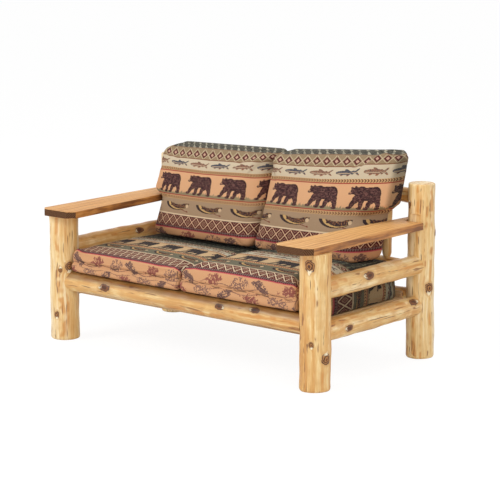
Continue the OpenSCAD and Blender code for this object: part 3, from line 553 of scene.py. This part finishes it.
def arm_finish(name, seed, pith, painted_darkening):
    """Sanded plank under satin varnish: long tan and red-brown grain along Y, in bands that bow round the
    pith. The last argument moves it towards its dark bands: painted shade, used on the left arm."""
    finish, place, shader = new_finish(name, {"Coat Weight": 0.05, "Coat Roughness": 0.35,
                                              "Specular IOR Level": 0.3})
    wander = place.noise(4.0, 2.0, out=1).vector("SUBTRACT", (0.5, 0.5, 0.5))
    wander = wander.vector("MULTIPLY", (0.05, 0.0, 0.05))
    at = place.vector("SUBTRACT", (pith, 0.0, 0.60)).vector("ADD", wander)
    long = at.vector("MULTIPLY", (1.0, 0.035, 1.0)).vector("ADD", (seed, 0, seed))
    sawtooth = {"wave_type": "RINGS", "rings_direction": "Y", "wave_profile": "SAW"}
    bands = long.node("TexWave", sawtooth, {"Vector": long, "Scale": 17.0, "Distortion": 2.4, "Detail": 2.0,
                                            "Detail Scale": 1.2}, 1)
    fibre = long.noise(260.0, 5.0, 0.62)
    streak = long.noise(34.0, 4.0)
    shade = bands * 0.30 + streak * 0.55 + fibre * 0.15 + painted_darkening
    wood = shade.ramp([(0.28, (0.84, 0.50, 0.20, 1)), (0.45, (0.75, 0.41, 0.145, 1)),
                       (0.60, (0.64, 0.31, 0.095, 1)), (0.78, (0.42, 0.17, 0.045, 1))])
    wood = (fibre.smooth(0.5, 0.72) * 0.35).paint(wood, (0.42, 0.19, 0.06, 1))
    wood.into(shader, "Base Color")
    (fibre * 0.18 + 0.44).into(shader, "Roughness")
    (fibre + streak).relief(0.22, 0.0006).into(shader, "Normal")
    return finish


def arm_end_finish():
    """Sawn end of a plank: dark brown, partly from its end grain and partly as painted shade, with the
    growth rings cut across.
    """
    finish, place, shader = new_finish("arm_end_grain_and_painted_shade", {"Roughness": 0.8, "Specular IOR Level": 0.12})
    at = place.vector("MULTIPLY", (1.0, 0.2, 1.6)).vector("ADD", (0.0, 0.0, -0.7))
    rings = place.node("TexWave", {"wave_type": "RINGS", "rings_direction": "Y"},
                       {"Vector": at, "Scale": 46.0, "Distortion": 3.0, "Detail": 3.0}, 1)
    shade = rings * 0.6 + place.noise(420.0, 3.0) * 0.4
    wood = shade.ramp([(0.3, (0.17, 0.080, 0.038, 1)), (0.7, (0.048, 0.020, 0.008, 1))])
    wood.into(shader, "Base Color")
    return finish


def arm_edge_finish():
    """Sawn edge of a plank: orange-brown and darker than the top as painted shade, with dark streaks along Y
    that crowd together in places.
    """
    finish, place, shader = new_finish("arm_edge_grain_and_painted_shade", {"Roughness": 0.45})
    streak = place.vector("MULTIPLY", (1.0, 0.05, 1.0)).noise(90.0, 4.0, 0.6)
    shade = streak * 0.6 + place.noise(7.0, 2.0) * 0.4
    wood = shade.ramp([(0.34, (0.64, 0.31, 0.09, 1)), (0.47, (0.46, 0.18, 0.040, 1)),
                       (0.58, (0.20, 0.07, 0.018, 1))])
    wood.into(shader, "Base Color")
    streak.relief(0.3, 0.0008).into(shader, "Normal")
    return finish


end_grain_and_shade, edge_grain_and_shade = arm_end_finish(), arm_edge_finish()
for name, side in (("left_arm", -1), ("right_arm", 1)):
    plank = arm_plank(name + "_plank", side)
    # The left arm's finish is a darker copy of the right's: painted shade against the stronger key light on
    # it.
    pith, painted_darkening = side * (half_spread + 0.02), (0.08 if side < 0 else 0.0)
    for finish in (arm_finish(name + "_finish", 2.7 * side + 5, pith, painted_darkening), end_grain_and_shade, edge_grain_and_shade):
        plank.data.materials.append(finish)
    # Faces turned along Y take the end finish and faces turned along X the edge finish: both are darker than
    # the top, partly as painted shade.
    turned_to = np.empty(len(plank.data.polygons) * 3)
    plank.data.polygons.foreach_get("normal", turned_to)
    facing = np.abs(turned_to.reshape(-1, 3))
    kind = np.where(facing[:, 1] > 0.6, 1, np.where(facing[:, 0] > 0.7, 2, 0))
    plank.data.polygons.foreach_set("material_index", kind.astype(np.int32))
    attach(plank, "frame")
    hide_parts(name)

# SEAT DECK AND FASTENERS
# Ten sawn softwood slats lie on the steps of two ledgers that are screwed to flats
# on the front and rear rails. The screws are zinc-plated steel, and a hardwood
# dowel pins each arm.


def sawn_finish(name, along, pale, dark, seed):
    """Plain sawn or turned wood: fine streaks along one axis and faint saw marks across it."""
    finish, place, shader = new_finish(name)
    stretch = [1.0, 1.0, 1.0]
    stretch[along] = 0.04
    at = place.vector("MULTIPLY", stretch).vector("ADD", (seed, seed, 0))
    streak = at.noise(55.0, 5.0, 0.6)
    fibre = at.noise(300.0, 3.0)
    wood = streak.smooth(0.35, 0.7).paint(pale, dark)
    wood = (fibre.smooth(0.45, 0.7) * 0.3).paint(wood, dark)
    wood.into(shader, "Base Color")
    saw = place.node("TexWave", {"bands_direction": "XYZ"[along]},
                     {"Vector": place, "Scale": 60.0, "Distortion": 1.5}, 1)
    (fibre + saw * 0.4).relief(0.25, 0.0006).into(shader, "Normal")
    (fibre * 0.1 + 0.6).into(shader, "Roughness")
    return finish


def screw_finish():
    """Zinc-plated steel: grey with a slight mottle."""
    finish, place, shader = new_finish("zinc_plated_screws", {"Metallic": 0.9})
    mottle = place.noise(350.0, 2.0)
    mottle.paint((0.46, 0.45, 0.43, 1), (0.62, 0.61, 0.58, 1)).into(shader, "Base Color")
    (mottle * 0.2 + 0.28).into(shader, "Roughness")
    return finish


slat_finish = sawn_finish("slat_softwood", 1, (0.72, 0.52, 0.30, 1), (0.50, 0.30, 0.14, 1), 1.0)
ledger_finish = sawn_finish("ledger_softwood", 0, (0.68, 0.47, 0.26, 1), (0.45, 0.26, 0.12, 1), 4.0)
dowel_finish = sawn_finish("dowel_hardwood", 2, (0.58, 0.38, 0.21, 1), (0.40, 0.23, 0.11, 1), 7.0)
zinc = screw_finish()
dressed = {f"seat_slat_{n}": slat_finish for n in range(1, 11)}
dressed.update({"front_ledger": ledger_finish, "rear_ledger": ledger_finish, "arm_dowels": dowel_finish})
dressed.update({n: zinc for n in ("arm_lag_screws", "tenon_screws", "ledger_screws", "slat_screws")})
for name, finish in dressed.items():
    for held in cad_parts[name].material_slots:
        held.material = finish

# CUSHIONS
# Two seat cushions and two back cushions, each a foam and fibre core in a cover of
# woven tapestry. The front of a seat cushion hangs over the front rail and is sewn
# into an upper and a lower roll. The back cushions lean on the top back rail.

hair = 0.0006


def rounded_block(low, high, radius):
    """A box whose edges are rounded: for every direction d on a ball, the point
    middle + sign(d) * (half size - radius) + d * radius. Returns rings from one X end to the other."""
    low, high = np.array(low), np.array(high)
    tilt = np.linspace(-math.pi / 2, math.pi / 2, 28)[1:-1, None]
    turn = (np.arange(48) + 0.5) * math.pi / 24
    aim = np.stack([np.sin(tilt) + 0 * turn, np.cos(tilt) * np.cos(turn), np.cos(tilt) * np.sin(turn)], -1)
    return (low + high) / 2 + np.sign(aim) * ((high - low) / 2 - radius) + aim * radius


def eased(value, low, high):
    """0 below low, 1 above high, and 3t^2 - 2t^3 between."""
    t = np.clip((value - low) / (high - low), 0, 1)
    return t * t * (3 - 2 * t)


def arch(value, low, high):
    """0 at low and high, 1 halfway: the root of a half wave of the sine."""
    return np.sqrt(np.sin(np.pi * np.clip((value - low) / (high - low), 0, 1)))


def even_skin(name, blocks, cell):
    """Joins blocks into one closed skin of even cells. Returns the piece and its points in metres."""
    piece = closed_skin(name, blocks[0], 180)
    for block in blocks[1:]:
        other = closed_skin(name + "_part", block, 180)
        with bpy.context.temp_override(active_object=piece, selected_editable_objects=[piece, other]):
            bpy.ops.object.join()
    even = piece.modifiers.new("even_cells", "REMESH")
    even.mode, even.voxel_size = "VOXEL", cell
    skin = bpy.data.meshes.new_from_object(piece.evaluated_get(bpy.context.evaluated_depsgraph_get()))
    piece.modifiers.clear()
    piece.data = skin
    points = np.empty(len(skin.vertices) * 3)
    skin.vertices.foreach_get("co", points)
    return piece, points.reshape(-1, 3)


def stuffed(piece, rest, held, cap):
    """Lets cloth under inside pressure swell the skin from rest. held is 1 along seams, which stay in place,
    and no point moves further than cap. Returns the new points."""
    skin = piece.data
    skin.vertices.foreach_set("co", rest.ravel())
    skin.update()
    seams = piece.vertex_groups.new(name="seams")
    for level in range(1, 11):
        chosen = np.nonzero(np.round(held * 10) == level)[0]
        seams.add(chosen.tolist(), level / 10, "REPLACE")
    cloth = piece.modifiers.new("cover", "CLOTH")
    cover = cloth.settings
    cover.quality, cover.mass = 5, 0.3
    cover.tension_stiffness = cover.compression_stiffness = 14
    cover.shear_stiffness, cover.bending_stiffness = 5, 0.6
    cover.use_pressure, cover.uniform_pressure_force = True, 4.0
    cover.vertex_group_mass = "seams"
    cover.effector_weights.gravity = 0
    for step in range(1, 21):
        scene.frame_set(step)
    swollen = piece.evaluated_get(bpy.context.evaluated_depsgraph_get()).to_mesh()
    moved = np.empty(len(swollen.vertices) * 3)
    swollen.vertices.foreach_get("co", moved)
    piece.modifiers.clear()
    piece.vertex_groups.clear()
    scene.frame_set(1)
    push = moved.reshape(-1, 3) - rest
    length = np.linalg.norm(push, axis=1)[:, None] + 1e-9
    return rest + push / length * cap * np.tanh(length / cap)


def covered(piece, points, cloth, finish, body, node):
    """Puts the points in place, stores where each lies on the woven cloth, and dresses the piece."""
    skin = piece.data
    skin.vertices.foreach_set("co", points.ravel())
    layer = skin.attributes.new("cloth", "FLOAT_VECTOR", "POINT")
    layer.data.foreach_set("vector", np.stack(cloth, -1).astype(np.float32).ravel())
    skin.materials.clear()
    skin.materials.append(finish)
    skin.shade_smooth()
    finer = piece.modifiers.new("finer", "SUBSURF")
    finer.levels = finer.render_levels = 1
    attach(piece, body)
    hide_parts(node)


def tapestry(name, seat_shaded):
    """Woven tapestry in bands that are counted in millimetres along the cloth from the red line over the
    leaf border: teeth, lattice, canoes, braid, bears on grass, braid, fish, diamonds, forest. Each figure is
    a union of turned ovals in a repeating cell: inside where the least of their scaled distances is under
    1. Places are rounded to whole threads first. The flag picks the palette of the seats: darker and
    greener threads as painted shade, and wider lines in the lattice."""
    finish, place, shader = new_finish(name, {"Roughness": 0.88, "Specular IOR Level": 0.25})
    cloth = place.node("Attribute", {"attribute_name": "cloth"}, {}, 1)
    u_fine = place.node("SeparateXYZ", {}, {0: cloth})
    s_fine, seam = u_fine.output(1), u_fine.output(2)
    u, s = u_fine.math("SNAP", 1.7), s_fine.math("SNAP", 1.5)

    def dye(red, green, blue):
        """A thread's colour as linear light, from its display values of 0 to 255."""
        return tuple((c / 255) ** 2.2 for c in (red, green, blue)) + (1,)

    cream, wine, brick = dye(218, 194, 160), dye(86, 28, 33), dye(160, 64, 55)
    umber, straw, slate, russet = dye(104, 70, 48), dye(203, 160, 112), dye(78, 80, 90), dye(126, 80, 58)
    line, thin, thick = (cream, 0.86, 1.14) if seat_shaded else (dye(227, 187, 148), 0.90, 1.10)
    # The seats' palette is a darker, greener copy of the back's: painted shade on the seat tops.
    if seat_shaded:
        tan, olive, sand = dye(206, 174, 132), dye(104, 101, 83), dye(194, 188, 164)
        khaki, moss, spruces = dye(126, 120, 98), dye(44, 46, 42), dye(110, 114, 94)
        bark, pelt = dye(33, 30, 35), dye(52, 46, 49)
    else:
        tan, olive, sand = dye(219, 166, 123), dye(162, 134, 106), dye(202, 184, 156)
        khaki, moss, spruces = dye(146, 123, 93), dye(90, 86, 76), dye(172, 165, 144)
        bark, pelt = dye(52, 25, 31), dye(108, 70, 66)
    bands = ((-140, dye(209, 155, 112)), (0, dye(192, 80, 88)), (4, dye(116, 96, 92)), (15, wine),
             (66, cream), (71, olive), (139.5, straw), (156, brick), (161, tan), (264, brick), (269, straw),
             (284, sand), (338.5, russet), (344.5, khaki), (385.5, russet), (391.5, moss))
    lowest, whole = 140, 640
    weave = ((s + lowest) / whole).ramp([((at + lowest) / whole, colour) for at, colour in bands], "CONSTANT")

    def inside(low, high):
        return (s > low) * (s < high)

    def lay(mask, colour, how="MIX"):
        """Weaves a colour in, as far as the mask says."""
        nonlocal weave
        weave = mask.paint(weave, colour, how)

    def spot(across, up):
        """A place on the cloth, for noise or a figure."""
        return place.node("CombineXYZ", {}, {0: across, 1: up})

    def cell(pitch, shift, middle, size=1.0, flip=1):
        """Place within a repeating cell, from its middle, in units of size millimetres."""
        return spot((((u + shift) % pitch) - pitch / 2) / size, (s - middle) * (flip / size))

    def figure(at, ovals):
        """Least scaled distance from ovals, each (x, y, half length, half height, turn in degrees)."""
        least = None
        for x, y, long, high, turn in ovals:
            far = at.oval((x, y, 0), (long, high, 1), turn)
            least = far if least is None else least.math("MINIMUM", far)
        return least

    def wave(pitch):
        """A zigzag from 0 at the middle of each cell to 1 at its edges."""
        return ((u / pitch).math("FRACT") - 0.5).math("ABSOLUTE") * 2

    # teeth and lattice
    tooth = (s - 4) / 11 < wave(12.5)
    lay(inside(4, 15) * tooth, wine)
    net = wave(50) + ((s - 40.5) / 25.5).math("ABSOLUTE")
    for low, high, colour in ((0.36, 0.52, dye(168, 132, 104)), (-1, 0.24, dye(132, 86, 74)),
                              (thin, thick, line), (1.50, 1.64, dye(150, 112, 92))):
        lay(inside(15, 66) * (net > low) * (net < high), colour)
    # canoes
    boat = cell(205, 20, 104, 1.0, 1.25)
    hull = figure(boat, [(0, 28, 80, 47, 0)])
    gunwale = figure(boat, [(8, 33, 73, 47, 0)])
    hollow = figure(boat, [(17, 36, 67, 45, 0)])
    deck = boat.node("SeparateXYZ", {}, {0: boat}, 1)
    in_canoe = inside(72, 139) * (deck < 24) * (figure(boat, [(6, 74, 92, 60, 0)]) > 1.0) * (hull < 1.0)
    lay(in_canoe, dye(50, 36, 40))
    lay(in_canoe * (gunwale < 1.0) * (hollow > 1.0), dye(200, 160, 102))
    load = figure(boat, [(-30, 12, 13, 7, 25), (-4, 9, 17, 7, -6), (22, 9, 12, 6, -24), (42, 15, 15, 5, 30)])
    lay(load < 1.0, dye(54, 36, 42))
    goods = spot(u * 0.14, s * 0.2).noise(1.0, 1.0) > 0.55
    lay(in_canoe * (hollow < 0.93) * goods, dye(146, 96, 62))
    lay(figure(boat, [(68, 10, 9, 10, 0)]) < 1.0, dye(206, 176, 138))
    paddle = figure(boat, [(48, -17, 25, 1.9, -14), (72, -22, 8, 3.4, -14)])
    lay(paddle < 1.0, dye(122, 62, 50))
    # braids
    for low, high in ((139.5, 156), (269, 284)):
        chevron = ((u + (s - (low + high) / 2).math("ABSOLUTE") * 1.1) / 13.5).math("FRACT") < 0.5
        lay(inside(low + 1.5, high - 1.5) * chevron, umber)
    # bears on grass
    blades = spot(u * 0.16, s * 0.02).noise(1.0, 3.0)
    lay(inside(161, 264) * (s < blades * 44 + 152), dye(140, 124, 94))
    walk = cell(200, 100, 213)
    bear = figure(walk, [
        (8, 14, 50, 25, 0), (-18, 22, 25, 21, 8), (46, 13, 29, 29, -6), (22, 26, 34, 14, 2),
        (-37, 24, 17, 16, 0), (-52, 25, 14, 13, 0), (-66, 17, 9, 6, 10), (-61, 37, 5, 5, 0),
        (-44, 40, 5, 5, 0), (-37, -6, 15, 18, -36), (-51, -23, 10.5, 19, -32), (-12, -6, 15, 18, 4),
        (-14, -26, 10.5, 18, 0), (34, -6, 17, 18, -22), (22, -25, 11, 18, -20), (60, -6, 16, 20, 14),
        (67, -25, 11.5, 17, 10), (-65, -39, 12, 5.5, 0), (-20, -42, 12, 5.5, 0), (12, -42, 12, 5.5, 0),
        (66, -42, 13, 5.5, 0)])
    fur_at = spot(u * 0.09, s * 0.2)
    fur = fur_at.noise(1.0, 4.0, distortion=0.8)
    coat = (fur.smooth(0.48, 0.60) * (bear < 0.82)).paint(bark, pelt)
    lay((bear < 1.0) * inside(163, 262), coat)
    muzzle = figure(walk, [(-67, 19, 5, 3.6, 0)])
    lay(muzzle < 1.0, dye(168, 124, 92))
    # fish, rust-brown and slate by turns
    swim = cell(132, 30, 312, 1.1)
    fish = figure(swim, [(-8, 0, 40, 9.5, 0), (-34, 0, 17, 6.5, 0), (43, 6, 12, 3.4, 34),
                         (43, -6, 12, 3.4, -34), (28, 0, 15, 4.6, 0), (-4, 10, 11, 4.5, -18),
                         (24, 5, 6, 3, -20), (6, -10, 8, 4, 26), (-22, -9, 8, 3.4, 24), (26, -6, 6, 3, 24)])
    turn_about = ((u + 30) / 264).math("FRACT") < 0.5
    spots = fur_at.noise(3.0, 1.0)
    scales = (spots > 0.54).paint(turn_about.paint(dye(148, 104, 82), slate), dye(62, 54, 58))
    scales = ((s < 303) * (spots > 0.44)).paint(scales, dye(144, 90, 66))
    lay(fish < 1.0, scales)
    lay((fish < 0.7) * inside(306, 312), dye(178, 152, 124))
    # diamonds
    tile = wave(50) + ((s - 365) / 21).math("ABSOLUTE")
    for low, high, colour in ((-1, 0.76, wine), (-1, 0.36, dye(192, 152, 128)),
                              (0.95, 1.10, dye(198, 178, 146))):
        lay(inside(344.5, 385.5) * (tile > low) * (tile < high), colour)
    # forest
    rise = ((s - 392) / 44).math("FRACT")
    spruce = wave(40) < (rise * -1 + 1) * 0.62 * ((rise * 4).math("FRACT") * 0.45 + 0.55)
    lay((s > 391.5) * spruce, spruces)
    gloom = fur_at.noise(0.6, 2.0).smooth(0.45, 0.6)
    lay((s > 391.5) * gloom * 0.85, dye(40, 44, 40))
    # leaf border of two rows: a leaf with its nuts, a red oak leaf and a bushy sprig on a wavy twig
    motif, motif_dark, rust = dye(132, 96, 84), dye(94, 68, 64), dye(150, 86, 74)
    worn_at = spot(u * 0.12, s * 0.13)
    ragged = worn_at.noise(1.0, 2.5, out=1).vector("SUBTRACT", (0.5, 0.5, 0.5))
    ragged = ragged.vector("MULTIPLY", (26.0, 24.0, 0.0))
    leaflets = worn_at.node("TexVoronoi", {}, {"Vector": worn_at, "Scale": 0.95})
    leaf_dyes = (spots > 0.5).paint(motif, motif_dark)
    oak_dyes = (spots > 0.54).paint(rust, dye(116, 66, 60))
    leaf = ((-112, -1, 34, 13, -24), (-138, 10, 13, 5, 10), (-122, 17, 5, 8, 20))
    oak = ((4, 1, 32, 10, 8), (-10, 10, 9, 8, 0), (12, 12, 10, 8, 0), (-8, -8, 9, 8, 0), (14, -8, 10, 8, 0),
           (30, 5, 10, 8, 0), (-36, -7, 14, 2.2, 20))
    sprigs = ((114, -3, 34, 1.4, 22), (108, -2, 26, 1.3, -14))
    for middle, shift, flip, low, high in ((-33, 60, 1, -62, -3), (-88, 275, -1, -150, -64)):
        leafy = inside(low, high)
        sharp = cell(450, shift, middle, 1.42, flip)
        blurred = sharp.vector("ADD", ragged)
        twig = (s - middle - ((u + shift) / 36).math("SINE") * 6 + 19 * flip).math("ABSOLUTE") < 1.3
        lay(leafy * twig, dye(134, 96, 80))
        for at, ovals, gaps, colour in ((blurred, leaf, 0.74, leaf_dyes),
                                        (sharp, ((-114, 0, 37, 1.4, -24),), 9.0, motif_dark),
                                        (blurred, oak, 0.7, oak_dyes),
                                        (blurred, ((114, 0, 39.9, 19.95, 8),), 0.5, motif),
                                        (sharp, sprigs, 9.0, motif)):
            lay(leafy * (figure(at, ovals) < 1.0) * (leaflets < gaps), colour)
    # Painted shade: the cushions' outer ends, where the side panels lie under the arms, are darkened.
    outer = place.node("SeparateXYZ", {}, {0: place}).math("ABSOLUTE").smooth(0.649, 0.664)
    lay(outer * 0.9, (0.36, 0.36, 0.33, 1), "MULTIPLY")
    # Painted shade: the cloth is darkened along the seams, in their sewn grooves and where the cushions meet.
    lay(seam.smooth(3.0, 0.8) * 0.8, dye(40, 26, 28))
    thread = ((u_fine * 1.85).math("SINE") * (s_fine * 2.09).math("SINE")) * 0.5 + 0.5
    lay(thread * 0.16, (0.02, 0.015, 0.012, 1))
    fleck = place.noise(900.0, 1.0)
    lay(fleck.smooth(0.55, 0.75) * 0.22, dye(226, 204, 170))
    weave.into(shader, "Base Color")
    (thread + fleck * 0.6).relief(0.35, 0.0009).into(shader, "Normal")
    return finish


# The seat cloth takes the darker palette, which is painted shade.
seat_cloth = tapestry("seat_tapestry", True)
back_cloth = tapestry("back_tapestry", False)


def seat_cushion(name, side, across, start, edges):
    """Lies on the slats and over the front rail. A point moves up by a crown of 14 mm towards the middle of
    the open top and down by 10 mm beside the other cushion, forwards by 6 mm on each front roll and back by
    12 mm into the seam between the rolls, and 7 mm sideways between the posts. across turns X into
    millimetres along the bands. start is the place on the cloth where the top begins, and edges are the
    distances behind there at which it is drawn to 70, 155, 261 and 341 mm."""
    crown_rise, bulge, sewn_in, spread, sag, puff = 0.014, 0.006, 0.012, 0.007, 0.010, 0.014
    piece, flat = even_skin(name + "_cover", [
        rounded_block((0.001, -0.397, 0.366), (0.662, 0.317, 0.438), 0.034),
        rounded_block((0.001, -0.395, 0.3235), (0.662, -0.21, 0.392), 0.025),
        rounded_block((0.001, -0.302, 0.267), (0.662, 0.317, 0.405), 0.016)], 0.0068)
    x, y, z = flat.T
    open_back, stitch_z, roll_low, roll_high = 0.12, 0.374, 0.322, 0.436
    over, upper = arch(x, -0.01, 0.665), eased(z, 0.38, 0.43)
    crown = upper * over * arch(y, -0.42, open_back) * (y < open_back)
    stitch = stitch_z + 0.003 * np.sin(x * 47 + side) + 0.0015 * np.sin(x * 111)
    in_front = eased(-y, 0.34, 0.385) * eased(z, 0.315, 0.33)
    roll = np.where(z > stitch, arch(z, stitch_z, roll_high), arch(z, roll_low, stitch_z))
    groove = np.exp(-((z - stitch) / 0.0085) ** 2)
    low_side = eased(-x, -0.09, 0.0) * upper * (y < open_back)
    rest = np.stack([x + spread * eased(x, 0.5, 0.66) * arch(y, -0.29, 0.34),
                     y - in_front * (bulge * over * roll - sewn_in * groove),
                     z + crown_rise * crown - sag * low_side], -1)
    held = np.maximum(in_front * groove, eased(-z, -0.30, -0.275))
    held = np.maximum(held, eased(-z, -0.345, -0.328) * (y < -0.30))
    rest[:, 0] *= side
    points = stuffed(piece, rest, held, puff)
    if side < 0:
        piece.data.flip_normals()
    rail_back, rail_top, deck_top, foot_of_back = -0.3045, 0.3228, 0.2658, 0.085
    px, py, pz = points.T
    px[:] = side * np.clip(side * px, hair, 0.6715)
    pz[:] = np.maximum(pz, np.where(py < rail_back, rail_top, deck_top))
    pz[:] = np.where(py > foot_of_back, np.minimum(pz, 0.4396), pz)
    py[:] = np.clip(py, -0.406, 0.3195)
    py[:] = np.where(pz < 0.3215, np.maximum(py, rail_back), py)
    bend_y, bend_z = 0.366, 0.406
    turn = np.arctan2(np.maximum(-(y + bend_y), 0), np.maximum(z - bend_z, 1e-6))
    s = np.interp(y + bend_y, (0,) + edges + (0.62,), (start, 70, 155, 261, 341, 660))
    s = s - (start - 2) / 0.7 * turn - 1000 * np.maximum(bend_z - z, 0)
    side_x = 0.653
    on_side = x > side_x
    s_side = 71 + 1000 * (y + 0.012) * np.where(y > -0.012, 0.9, 0.5)
    u = np.where(on_side, 1000 * z, across(side * x * 1000))
    seam = 1000 * np.minimum(abs(x - side_x) * 1.4, abs(x - 0.010) * 1.4)
    seam = np.where((y < -0.37) & (z < 0.40), np.minimum(seam, 1000 * abs(z - stitch)), seam)
    covered(piece, points, (u, np.where(on_side, s_side, s), np.minimum(seam, 60)), seat_cloth,
            name.replace("_cushion", ""), name)


seat_cushion("left_seat_cushion", -1, lambda x: (x + 664) * 200 / 148 - 68, 17, (0.107, 0.201, 0.331, 0.377))
seat_cushion("right_seat_cushion", 1, lambda x: x * 200 / 185 - 48, 26, (0.046, 0.146, 0.256, 0.334))


def back_cushion(name, side, curve, slump):
    """Stands on its seat cushion and leans back by 18 degrees against the top back rail. Its section is level
    and sheared to the lean: Y = rail face + tan 18 (Z - rail height) - thickness + depth. Above the arm it
    swells sideways by 56 mm. slump is how far its right-hand front edge moves left. The cloth is drawn
    tighter at one end than at the other, so the count of bears along it is
    curve[0] w^2 + curve[1] w + curve[2], with w the width unrolled round the end."""
    rail_face, lean, thick, foot, welt = 0.3809, 0.3249, 0.198, 0.4408, 0.15
    outer, puff, fall_width, crest, over_arm = 0.6675, 0.016, 0.22, 0.884, 0.619
    low, high = (0.001, outer) if side > 0 else (-outer, -0.001)
    block = rounded_block((low, 0.004, 0.4415), (high, 0.194, crest), 0.036)
    piece, flat = even_skin(name + "_cover", [block], 0.0075)
    x, depth, z = flat.T
    over, tall = arch(x, low - 0.004, high + 0.004), arch(z, 0.43, 0.90)
    front = np.clip(1 - depth / thick, 0, 1)
    rounding = 1 - np.sqrt(1 - np.clip((welt - depth) / welt, 0, 1) ** 2)
    fall = np.clip((x - high + fall_width) / fall_width, 0, 1) * rounding
    above, before = eased(z, over_arm, 0.672), eased(-depth, -0.15, -0.10) * (side > 0)
    reach = 0.613 + (0.056 + 0.015 * before) * above
    top = 0.873 + 0.055 * x + 0.038 * x * x
    bent = z - 0.007 * (1 - over) * eased(z, 0.80, crest)
    corner = eased(abs(x), 0.59, 0.667) * eased(z, 0.79, crest) ** 2
    inwards = 0.004 * (1 - 2 * (x > (low + high) / 2)) * arch(z, 0.46, 0.87)
    rest = np.stack([x * reach / 0.669 - side * 0.012 * corner - slump * fall + inwards,
                     depth - 0.020 * front * over * tall,
                     foot + (bent - foot) * (top - foot) / (crest - foot)], -1)
    w = 1000 * (rest[:, 0] + 0.823 * rest[:, 1])
    rest[:, 1] += rail_face + lean * (rest[:, 2] - top_back_z) - thick
    held = np.maximum(np.exp(-((depth - welt) / 0.008) ** 2), eased(-z, -0.455, -0.444))
    points = stuffed(piece, rest, held, puff)
    px, py, pz = points.T
    pz[:] = np.maximum(pz, 0.4405)
    py[:] = np.minimum(py, rail_face + lean * (pz - top_back_z) - hair)
    widest = 0.6145 + (0.0565 + 0.013 * before) * eased(pz, over_arm, 0.664)
    px[:] = side * np.clip(side * px, hair, widest)
    u = 200 * (curve[0] * w * w + curve[1] * w + curve[2]) - 80
    s = 964 * (z - 0.4823) + 1000 * np.maximum(depth - 0.042, 0) * eased(z, 0.866, crest)
    covered(piece, points, (u, s, np.minimum(1000 * abs(depth - welt), 60)), back_cloth,
            name.replace("_cushion", ""), name)


back_cushion("left_back_cushion", -1, (-1.2316e-6, 4.3584e-3, 3.1282), 0.03)
back_cushion("right_back_cushion", 1, (-6.596e-7, 5.0079e-3, -0.2951), 0.10)
